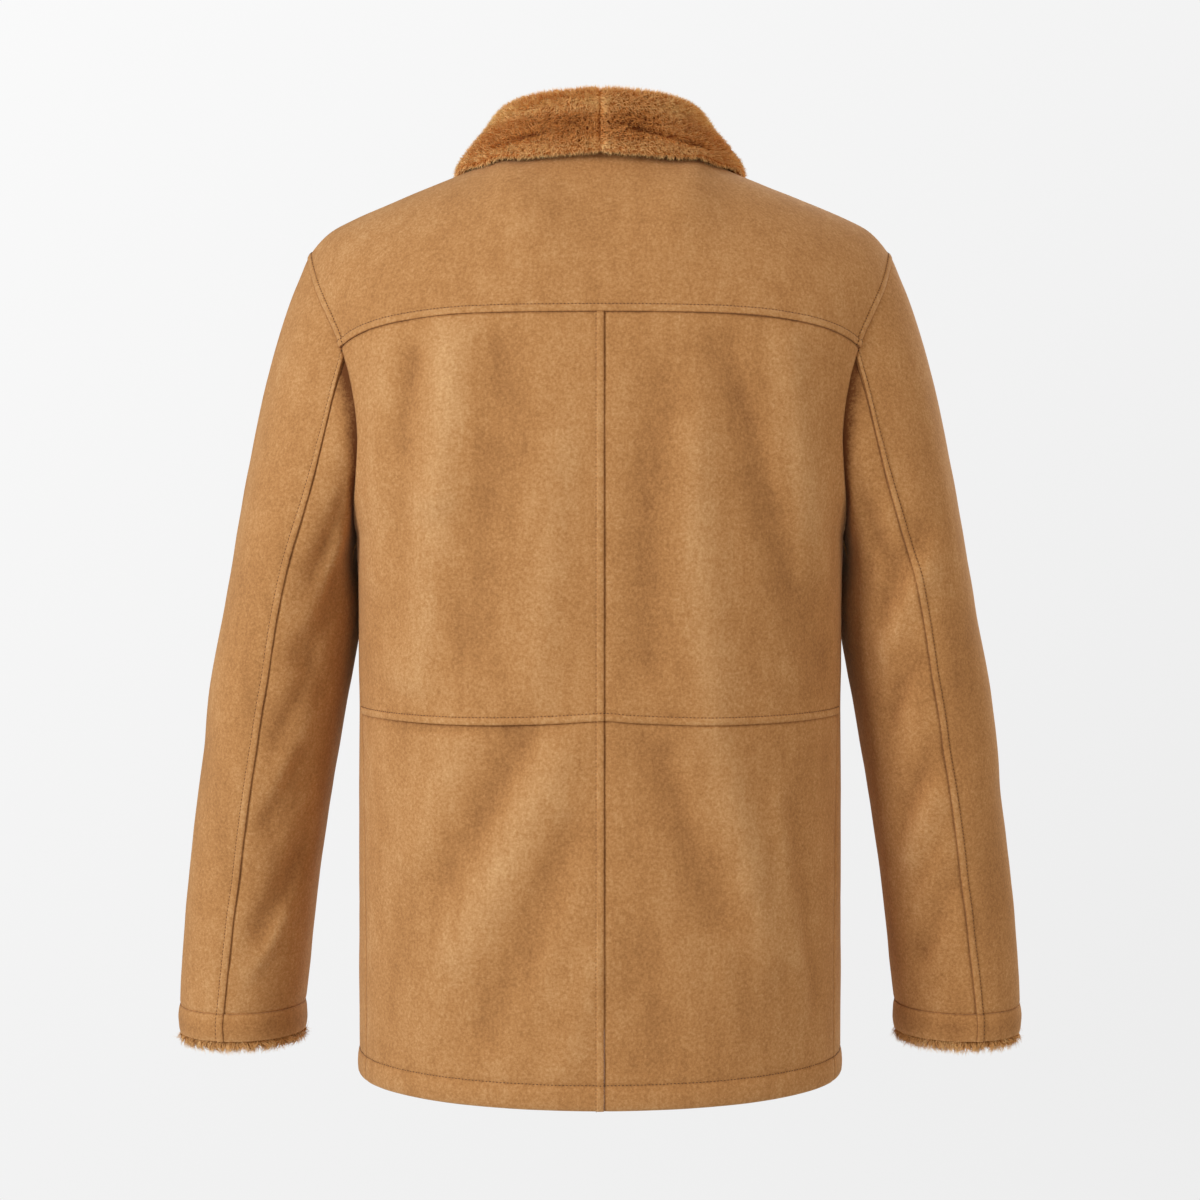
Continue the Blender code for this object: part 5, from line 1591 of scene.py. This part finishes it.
def parting_dips(points, side):
    """How deep the pile parts at each point of the back of the collar, and which way it leans from there."""
    dip = np.zeros(points.shape[:2])
    lean = np.zeros_like(points)
    x, z = side * points[..., 0], points[..., 2]
    for x0, z0, x1, z1, width, depth in zip(*PARTINGS.values()):
        run, rise = x1 - x0, z1 - z0
        along = np.clip(((x - x0) * run + (z - z0) * rise) / (run**2 + rise**2), 0, 1)
        off_x, off_z = x - x0 - along * run, z - z0 - along * rise
        away = np.hypot(off_x, off_z)
        near = fade(away, width) * (points[..., 1] > BACK_OF_NECK)
        dip = np.maximum(dip, depth * near)
        wide = fade(away, 3.0 * width) * (points[..., 1] > BACK_OF_NECK)
        lean[..., 0] += side * off_x / (away + 0.5) * wide
        lean[..., 2] += off_z / (away + 0.5) * wide
    seam = np.abs(points[..., 0])
    dip += 0.6 * fade(seam, 1.6)
    lean[..., 0] += 0.5 * fade(seam, 8.0)
    return dip, lean


def fur_tone(points, side, share_up, dip):
    """Painted light and shade on the pile, with some random tone: lighter where it stands in the light, at the
    fold and the edge, paler along the seam, and darker in its partings and where it lies away from the light.
    """
    x, z = side * points[..., 0], points[..., 2]
    tone = 0.22 * ripple(points, 30.0, 4.0 + side) + 0.16 * ripple(points, 9.0, 8.0)
    for place_x, place_z, half_width, half_height, amount in zip(*FUR_TONES.values()):
        away = ((x - place_x) / half_width) ** 2 + ((z - place_z) / half_height) ** 2
        tone += amount * np.exp(-away) * (points[..., 1] > BACK_OF_NECK)
    tone += 0.42 * fade(share_up - FOLD_SHARE, 0.09)
    tone += 0.38 * ease((share_up - EDGE_SHARE) / 0.14)
    tone += 0.24 * np.exp(-(points[..., 0] ** 2) / 40.0)
    return tone - 0.16 * dip


def shortened(values, up, reach):
    """Each column of values read again up to its own reach."""
    found = np.empty_like(values)
    for column in range(values.shape[1]):
        for axis in range(3):
            found[:, column, axis] = np.interp(reach[:, column], up, values[:, column, axis])
    return found


middle = collar_middle()
collar_out = grid_normals(middle)
if np.sum(collar_out[-2] * middle[-2]) < 0:
    collar_out = -collar_out
collar_out[:, 0, 0] = 0.0
collar_surface = Surface(middle, unit(collar_out))
for side, name in SIDES:
    up = np.linspace(0, collar_surface.up[-1], 44)
    across = np.concatenate([[0.0, 1.2, 2.6, 4.4], np.linspace(7.0, collar_surface.across[-1], 76)])
    points, out = collar_surface.at(up, across)
    short = read(CORE_SHORT, "short", "turn", 180 * across / across[-1])
    reach = up[:, None] * (1 - short / up[-1])
    points, out = shortened(points, up, reach), unit(shortened(out, up, reach))
    pile = np.interp(reach, collar_surface.up, PILES)
    dip, lean = parting_dips(points, side)
    tone = fur_tone(points, side, (up / up[-1])[:, None], dip)
    lumps = 0.7 * ripple(points, 19.0, 2.0 + side) + 0.3 * ripple(points, 8.0, 5.0)
    mirror = np.array([side, 1.0, 1.0])
    rounding = 1.5 * (1 - ease((up[-1] - up) / 5.0))[:, None]
    half = np.maximum(pile / 2 - PILE_DEPTH - 0.5 * dip + lumps * 0.6 - rounding, CORE_LEAST)
    core_outer = points + out * half[..., None]
    core_inner = points - out * np.maximum(pile / 2 - 1.2 - rounding, CORE_LEAST)[..., None]
    at_edge = ease((up - up[-1] + 12.0) / 12.0)[:, None, None]
    down = unit(np.gradient(points, axis=0)) * (0.75 - 0.35 * at_edge) + lean * 1.3
    grown = np.ones(points.shape[:2]) * (0.25 + 0.75 * ease((up - 22.0) / 14.0))[:, None]
    pile_share = np.clip(1.0 - 0.16 * dip, 0.45, 1.0) * (1.0 - 0.25 * at_edge[..., 0])
    near_edge = (1 - ease((up[-1] - up) / 7.0))[:, None] + 0 * grown
    values = {
        "tone": on_both_faces(tone),
        "growth": np.concatenate([grown.ravel(), (near_edge * 0.6).ravel()]),
        "flow": on_both_faces(down) * mirror,
        "pile": on_both_faces(pile_share),
    }
    name, core = f"collar_{name}", f"collar_core_{name}"
    pieces[name] = shell_object(core, core_outer * mirror, core_inner * mirror, [COLLAR_CORE], values)
depth, run = round(collar_surface.up[-1]), round(collar_surface.across[-1])
print("collar", depth, "mm from base to edge,", run, "mm round")

# %% [markdown]
# ## Cuff facings
# Below each band shows a rim of shaggy pile. It is the fur side of the cloth, turned up inside the cuff, so
# a ring of it runs up inside the band and swells out below.

# %% Cuff cores
CUFF_FUR_RISE, CUFF_CORE_DEPTH = 22.0, 4.2
CUFF_CORE_TURNS = 96
inside = -WALL - SEAM_GAP
inner = inside - CUFF_CORE_DEPTH
sections = table(
    "z outer inner",
    [
        (CUFF_BOTTOM + CUFF_FUR_RISE, inside - 0.4, inner + 0.6),
        (CUFF_BOTTOM + CUFF_FUR_RISE - 3, inside, inner),
        (CUFF_BOTTOM + 8, inside, inner),
        (CUFF_BOTTOM - 0.5, inside, inner),
        (CUFF_BOTTOM - 1.6, -3.2, inner),
        (CUFF_BOTTOM - 3.2, -2.6, inner + 0.4),
        (CUFF_BOTTOM - 4.8, -3.6, inner + 1.2),
    ],
)
for side, name in SIDES:
    turns = np.linspace(0, 2 * math.pi, CUFF_CORE_TURNS, endpoint=False)
    rings = np.array([sleeve_ring(turns, CUFF_BOTTOM) for _ in sections["z"]])
    rings[..., 2] = sections["z"][:, None]
    outs = np.array([ring_normals(turns, CUFF_BOTTOM) for _ in sections["z"]])
    wave = 0.7 * ripple(rings, 9.0, 3.0 + side) * (sections["z"] < CUFF_BOTTOM)[:, None]
    mirror = np.array([side, 1.0, 1.0])
    outer = (rings + outs * (sections["outer"][:, None] + wave)[..., None]) * mirror
    inner_ring = (rings + outs * sections["inner"][:, None, None]) * mirror
    below = ease((CUFF_BOTTOM + 0.5 - sections["z"]) / 2.0)[:, None] + np.zeros(rings.shape[:2])
    down = np.zeros_like(rings)
    down[..., 2] = -0.9
    values = {
        "tone": on_both_faces(0.4 * ripple(rings, 7.0, 6.0)),
        "growth": np.concatenate([below.ravel(), 0.35 + 0.65 * below.ravel()]),
        "flow": on_both_faces(down),
        "pile": np.ones(2 * below.size),
    }
    name, core = f"cuff_fur_{name}", f"cuff_core_{name}"
    pieces[name] = shell_object(core, outer, inner_ring, [CUFF_CORE], values, closed_round=True)
print("cuff facings made")

# %% [markdown]
# ## Strands
# Modelling each hair by hand is hopeless, but one hair is simple: a thin cone that bends. Geometry Nodes
# scatters points over a core, thick where its growth attribute is high, stands a hair on each, leans it with
# the pile's flow, gathers it into tufts by a noise, and gives it its own length and shade. The seed is fixed.

# %% A node tree that grows a pile


def new_tree(name, inputs):
    """A geometry node tree with named inputs: each has a socket kind and a starting value."""
    tree = bpy.data.node_groups.new(name, "GeometryNodeTree")
    tree.interface.new_socket("Geometry", in_out="INPUT", socket_type="NodeSocketGeometry")
    tree.interface.new_socket("Geometry", in_out="OUTPUT", socket_type="NodeSocketGeometry")
    for label, (kind, value) in inputs.items():
        socket = tree.interface.new_socket(label, in_out="INPUT", socket_type=kind)
        if value is not None:
            socket.default_value = value
    return tree, tree.nodes.new("NodeGroupInput").outputs


def named(tree, name, kind):
    """A mesh attribute, read by its name."""
    made = add_node(tree, "GeometryNodeInputNamedAttribute", {"Name": name}, data_type=kind)
    return made.outputs["Attribute"]


def vector_math(tree, operation, *values):
    made = add_node(tree, "ShaderNodeVectorMath", operation=operation)
    for index, value in enumerate(values):
        socket = made.inputs["Scale"] if operation == "SCALE" and index == 1 else made.inputs[index]
        if isinstance(value, bpy.types.NodeSocket):
            tree.links.new(value, socket)
        else:
            socket.default_value = value
    return made.outputs["Vector"]


def random_value(tree, kind, low, high, seed):
    """A random value for each point. The node has its own sockets for each kind of value."""
    first_input, output = {"FLOAT_VECTOR": (0, 0), "FLOAT": (2, 1)}[kind]
    inputs = {first_input: low, first_input + 1: high, "Seed": seed}
    return add_node(tree, "FunctionNodeRandomValue", inputs, data_type=kind).outputs[output]


def turned_along(tree, upward, forward):
    """The turn that stands a copy up along one direction and then faces it along another."""
    kind = "FunctionNodeAlignRotationToVector"
    stood = add_node(tree, kind, {"Vector": upward}, axis="Z").outputs[0]
    return add_node(tree, kind, {"Rotation": stood, "Vector": forward}, axis="X", pivot_axis="Z").outputs[0]


def stored(tree, geometry, name, value, domain):
    inputs = {"Geometry": geometry, "Name": name, "Value": value}
    made = add_node(tree, "GeometryNodeStoreNamedAttribute", inputs, data_type="FLOAT", domain=domain)
    return made.outputs["Geometry"]


def copies_on(tree, points, instance, rotation, scale):
    """A copy on each point, with its own turn and with its size along three axes."""
    size = add_node(tree, "ShaderNodeCombineXYZ", dict(zip("XYZ", scale))).outputs[0]
    inputs = {"Points": points, "Instance": instance, "Rotation": rotation, "Scale": size}
    return add_node(tree, "GeometryNodeInstanceOnPoints", inputs).outputs["Instances"]


def finish_tree(tree, copies, paint):
    """The tree's result: its copies as one plain mesh in one material."""
    real = add_node(tree, "GeometryNodeRealizeInstances", {"Geometry": copies})
    inputs = {"Geometry": real.outputs["Geometry"], "Material": paint}
    painted = add_node(tree, "GeometryNodeSetMaterial", inputs)
    add_node(tree, "NodeGroupOutput", {"Geometry": painted.outputs["Geometry"]})
    return tree


def pile_tree():
    """Bent cones on a core: as many as its growth says, leaning with its flow, and gathered into tufts."""
    number, whole = "NodeSocketFloat", "NodeSocketInt"
    tree, given = new_tree(
        "pile",
        {
            "Strands per square metre": (number, 500000.0),
            "Length": (number, 0.008),
            "Thickness": (number, 0.0003),
            "Bend": (number, 0.4),
            "Lean": (number, 0.6),
            "Tuft size": (number, 0.006),
            "Tuft pull": (number, 0.7),
            "Disorder": (number, 0.3),
            "Segments": (whole, 1),
            "Seed": (whole, 1),
            "Fur": ("NodeSocketMaterial", None),
        },
    )
    density = math_node(tree, "MULTIPLY", given["Strands per square metre"], named(tree, "growth", "FLOAT"))
    scattered = add_node(
        tree,
        "GeometryNodeDistributePointsOnFaces",
        {"Mesh": given["Geometry"], "Density": density, "Seed": given["Seed"]},
        distribute_method="RANDOM",
    )
    place = add_node(tree, "GeometryNodeInputPosition").outputs["Position"]
    per_tuft = math_node(tree, "DIVIDE", 1.0, given["Tuft size"])
    tufts = add_node(tree, "ShaderNodeTexNoise", {"Vector": place, "Scale": per_tuft, "Detail": 1.0})
    pull = vector_math(tree, "SUBTRACT", tufts.outputs["Color"], (0.5, 0.5, 0.5))
    pull = vector_math(tree, "SCALE", pull, math_node(tree, "MULTIPLY", given["Tuft pull"], 4.0))
    stray = random_value(tree, "FLOAT_VECTOR", (-1, -1, -1), (1, 1, 1), given["Seed"])
    stray = vector_math(tree, "SCALE", stray, given["Disorder"])
    flow = vector_math(tree, "SCALE", named(tree, "flow", "FLOAT_VECTOR"), given["Lean"])
    sideways = vector_math(tree, "ADD", vector_math(tree, "ADD", pull, stray), flow)
    heading = vector_math(tree, "ADD", scattered.outputs["Normal"], sideways)
    strand = add_node(
        tree,
        "GeometryNodeMeshCone",
        {
            "Vertices": 3,
            "Side Segments": given["Segments"],
            "Radius Top": 0.0,
            "Radius Bottom": given["Thickness"],
            "Depth": given["Length"],
        },
        fill_type="NONE",
    )
    height = add_node(tree, "ShaderNodeSeparateXYZ", {0: place}).outputs["Z"]
    along = math_node(tree, "DIVIDE", height, given["Length"])
    reach = math_node(tree, "MULTIPLY", math_node(tree, "POWER", along, 2.0), given["Bend"])
    reach = math_node(tree, "MULTIPLY", reach, given["Length"])
    offset = add_node(tree, "ShaderNodeCombineXYZ", {"X": reach}).outputs[0]
    marked = stored(tree, strand.outputs["Mesh"], "along", along, "POINT")
    bent = add_node(tree, "GeometryNodeSetPosition", {"Geometry": marked, "Offset": offset})
    own_size = random_value(tree, "FLOAT", 0.65, 1.15, given["Seed"])
    size = math_node(tree, "MULTIPLY", own_size, named(tree, "pile", "FLOAT"))
    turned = turned_along(tree, heading, sideways)
    grown = copies_on(tree, scattered.outputs["Points"], bent.outputs["Geometry"], turned, (size, size, size))
    own = random_value(tree, "FLOAT", 0.0, 1.0, given["Seed"])
    # Each strand's shade: its own random value, the core's tone with its painted light and shade, and its tuft.
    shade = math_node(tree, "MULTIPLY_ADD", own, 0.35, named(tree, "tone", "FLOAT"))
    shade = math_node(tree, "MULTIPLY_ADD", tufts.outputs[0], 0.7, shade)
    return finish_tree(tree, stored(tree, grown, "shade", shade, "INSTANCE"), given["Fur"])


def grown_from(name, source, tree, values):
    """The plain mesh that a tree makes from an object, with the given inputs, as a new object."""
    modifier = source.modifiers.new("grow", "NODES")
    modifier.node_group = tree
    sockets = {item.name: item.identifier for item in tree.interface.items_tree if item.in_out == "INPUT"}
    for label, value in values.items():
        modifier[sockets[label]] = value
    view = bpy.context.evaluated_depsgraph_get()
    data = bpy.data.meshes.new_from_object(source.evaluated_get(view), depsgraph=view)
    source.modifiers.remove(modifier)
    data.name = name
    return add_object(name, data)


PILE = pile_tree()
COLLAR_PILE = {
    "Strands per square metre": 1700000.0,
    "Length": 0.0058,
    "Thickness": 0.00042,
    "Bend": 0.3,
    "Lean": 0.6,
    "Tuft size": 0.0036,
    "Tuft pull": 0.45,
    "Disorder": 0.42,
    "Segments": 1,
    "Fur": COLLAR_FUR,
}
CUFF_PILE = {
    "Strands per square metre": 900000.0,
    "Length": 0.0072,
    "Thickness": 0.00040,
    "Bend": 0.7,
    "Lean": 0.8,
    "Tuft size": 0.0065,
    "Tuft pull": 0.9,
    "Disorder": 0.25,
    "Segments": 2,
    "Fur": CUFF_FUR,
}
COLLAR_SEED, CUFF_SEED = 11, 31
extras = []
for number, name in enumerate(("left", "right")):
    values = {**COLLAR_PILE, "Seed": COLLAR_SEED + number}
    strands = grown_from(f"collar_fur_{name}", pieces[f"collar_{name}"], PILE, values)
    extras.append(strands)
    values = {**CUFF_PILE, "Seed": CUFF_SEED + number}
    fringe = grown_from(f"cuff_strands_{name}", pieces[f"cuff_fur_{name}"], PILE, values)
    extras.append(fringe)
    print(name, "faces in the pile:", len(strands.data.polygons), "and", len(fringe.data.polygons))

# %% [markdown]
# ## Stitches
# Each seam line kept above becomes a thin path that carries the cloth's direction. A second tree walks along
# it at the pitch of the real stitches and lays one small bead of thread at each step, along the seam and flat
# on the cloth.

# %% A node tree that sews


def stitch_tree():
    """Beads of thread along a path, each laid along it and flat on the cloth."""
    number = "NodeSocketFloat"
    tree, given = new_tree(
        "stitches",
        {
            "Pitch": (number, 0.003),
            "Stitch length": (number, 0.0018),
            "Thread thickness": (number, 0.0006),
            "Thread": ("NodeSocketMaterial", None),
        },
    )
    path = add_node(tree, "GeometryNodeMeshToCurve", {"Mesh": given["Geometry"]})
    inputs = {"Curve": path.outputs[0], "Length": given["Pitch"]}
    walked = add_node(tree, "GeometryNodeResampleCurve", inputs, mode="LENGTH")
    bead = add_node(tree, "GeometryNodeMeshUVSphere", {"Segments": 6, "Rings": 3, "Radius": 0.5})
    tangent = add_node(tree, "GeometryNodeInputTangent").outputs["Tangent"]
    turned = turned_along(tree, named(tree, "facing", "FLOAT_VECTOR"), tangent)
    size = (given["Stitch length"], given["Thread thickness"], given["Thread thickness"])
    sewn = copies_on(tree, walked.outputs[0], bead.outputs["Mesh"], turned, size)
    return finish_tree(tree, sewn, given["Thread"])


def path_object(name, lines):
    """A mesh of bare edges along the given lines, in metres, with the cloth's direction at each point."""
    points = np.concatenate([line for line, _ in lines]) * MILLIMETRE
    facing = np.concatenate([normals for _, normals in lines])
    starts = np.cumsum([0] + [len(line) for line, _ in lines])
    edges = [(i, i + 1) for start, end in zip(starts, starts[1:]) for i in range(start, end - 1)]
    data = bpy.data.meshes.new(name)
    data.from_pydata(points.tolist(), edges, [])
    attribute = data.attributes.new("facing", "FLOAT_VECTOR", "POINT")
    attribute.data.foreach_set("vector", facing.astype(np.float32).ravel())
    return add_object(name, data)


def sewn_along(name, lines, pitch, length, thickness):
    """Stitches along all the given lines, as one piece of thread on the suede."""
    path = path_object(f"path_{name}", lines)
    values = {"Pitch": pitch, "Stitch length": length, "Thread thickness": thickness, "Thread": THREAD}
    sewn = grown_from(name, path, STITCHES, values)
    bpy.data.objects.remove(path)
    return sewn


BUTTON_WIDTH, BUTTON_HEIGHT, FIRST_BUTTON, BUTTON_SPACING, BUTTON_COUNT = 25.0, 4.6, -176.0, 106.0, 5
HOLE_MIDDLE, HOLE_HALF_LENGTH, HOLE_HALF_WIDTH = 11.0, 14.0, 1.3


def buttonhole(z):
    """A long narrow loop of close stitches on the left front, from just past the button's middle outward."""
    outer, out = left_front.outer, left_front.out
    flat = outer.reshape(-1, 3)
    line, normals = [], []
    for angle in np.linspace(0, 2 * math.pi, 61):
        x = HOLE_MIDDLE + HOLE_HALF_LENGTH * math.copysign(abs(math.cos(angle)) ** 0.5, math.cos(angle))
        up = z + HOLE_HALF_WIDTH * math.sin(angle)
        nearest = np.argsort((flat[:, 0] - x) ** 2 + (flat[:, 2] - up) ** 2)[:6]
        weight = 1 / (0.5 + np.hypot(flat[nearest, 0] - x, flat[nearest, 2] - up))
        weight /= weight.sum()
        line.append((x, float(np.sum(flat[nearest, 1] * weight)), up))
        normals.append(np.sum(out.reshape(-1, 3)[nearest] * weight[:, None], axis=0))
    normals = unit(np.array(normals))
    return np.array(line) + normals * 0.2, normals


STITCHES = stitch_tree()
for where, lines in stitch_lines.items():
    extras.append(sewn_along(f"stitches_{where}", lines, pitch=0.0029, length=0.0019, thickness=0.0007))
button_heights = [FIRST_BUTTON - BUTTON_SPACING * number for number in range(BUTTON_COUNT)]
loops = [buttonhole(z) for z in button_heights]
extras.append(sewn_along("buttonhole_stitches", loops, pitch=0.0009, length=0.0008, thickness=0.0016))
print("sewn pieces:", len(stitch_lines) + 1)

# %% [markdown]
# ## Buttons
# Each button is turned on a lathe: a rounded rim round a shallow dish with four holes, sewn with a cross of
# thread. A lathe shape is a profile spun about an axis. The dish is a disc, so its holes are shown by four
# flat dark discs lying on it in the thread's colour, as painted shade.

# %% Buttons and their thread
BUTTON_SIDES = 48
DISH_HEIGHT = BUTTON_HEIGHT - 1.6
# The share of the button's radius and the height, from its underside round the rim to the dish.
BUTTON_PROFILE = [
    (0.70, 0.0),
    (0.88, 0.25),
    (0.96, 0.8),
    (1.0, 1.5),
    (1.0, 2.3),
    (0.98, 3.2),
    (0.94, BUTTON_HEIGHT - 0.5),
    (0.88, BUTTON_HEIGHT - 0.1),
    (0.82, BUTTON_HEIGHT),
    (0.76, BUTTON_HEIGHT - 0.2),
    (0.70, BUTTON_HEIGHT - 0.7),
    (0.64, BUTTON_HEIGHT - 1.2),
    (0.54, BUTTON_HEIGHT - 1.5),
    (0.3, DISH_HEIGHT),
]
HOLE_PLACE, HOLE_RADIUS = 2.0, 0.95
THREAD_SIZE, THREAD_SPREAD = (6.2, 0.55, 0.5, 1.0), 0.3


def turn_on_lathe(mesh, profile, radius, sides):
    """A closed shape of the given profile, spun about Z."""
    angles = np.linspace(0, 2 * math.pi, sides, endpoint=False)
    rings = [
        [mesh.verts.new((reach * radius * math.cos(a), reach * radius * math.sin(a), height)) for a in angles]
        for reach, height in profile
    ]
    for low, high in zip(rings, rings[1:]):
        for step in range(sides):
            after = (step + 1) % sides
            mesh.faces.new((low[step], low[after], high[after], high[step]))
    mesh.faces.new(rings[0][::-1])
    mesh.faces.new(rings[-1])


def add_holes_and_thread(mesh):
    """Four flat dark discs on the dish, as painted shade where its holes would be, and two pairs of threads
    crossed over it. Returns all their faces.
    """
    parts = []
    # Flat dark discs on the dish, as painted shade where the holes would be.
    for x, y in [(-1, -1), (-1, 1), (1, -1), (1, 1)]:
        place = Matrix.Translation((x * HOLE_PLACE, y * HOLE_PLACE, DISH_HEIGHT + 0.02))
        parts.append(
            bmesh.ops.create_circle(mesh, cap_ends=True, segments=12, radius=HOLE_RADIUS, matrix=place)
        )
    for angle in (math.pi / 4, -math.pi / 4):
        height = DISH_HEIGHT + 0.35 + 0.12 * (angle > 0)
        for offset in (-THREAD_SPREAD, THREAD_SPREAD):
            turn = Matrix.Rotation(angle, 4, "Z") @ Matrix.Translation((0, offset, height))
            place = turn @ Matrix.Diagonal(THREAD_SIZE)
            parts.append(bmesh.ops.create_uvsphere(mesh, u_segments=10, v_segments=6, radius=0.5, matrix=place))
    return {face for part in parts for vertex in part["verts"] for face in vertex.link_faces}


for number, z in enumerate(button_heights):
    mesh = bmesh.new()
    turn_on_lathe(mesh, BUTTON_PROFILE, BUTTON_WIDTH / 2, BUTTON_SIDES)
    thread_and_hole_faces = add_holes_and_thread(mesh)
    bmesh.ops.recalc_face_normals(mesh, faces=mesh.faces)
    for face in thread_and_hole_faces:
        face.material_index = 1
    middle_front = np.array(math.pi)
    slope = body_point(middle_front, np.array(z + 5.0)) - body_point(middle_front, np.array(z - 5.0))
    outward = Vector((0.0, -slope[2], slope[1])).normalized()
    place = Vector(body_point(middle_front, np.array(z))) + outward * (FRONT_STEP + SEAM_GAP)
    turn = Vector((0, 0, 1)).rotation_difference(outward).to_matrix().to_4x4()
    mesh.transform(Matrix.Scale(MILLIMETRE, 4) @ Matrix.Translation(place) @ turn)
    name = f"coat_button_{number + 1}"
    data = bpy.data.meshes.new(name)
    mesh.to_mesh(data)
    mesh.free()
    data.shade_smooth()
    data.set_sharp_from_angle(angle=math.radians(50))
    data.materials.append(HORN)
    data.materials.append(THREAD)
    button = add_object(name, data)
    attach(button, "root")
    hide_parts(f"button_{number + 1}")
print("buttons:", len(button_heights))

# %% Declare every piece
for node, piece in pieces.items():
    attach(piece, "root")
    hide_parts(node)
for piece in extras:
    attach(piece, "root")
faces = sum(len(piece.data.polygons) for piece in extras)
print("faces in the fur and the thread:", faces)
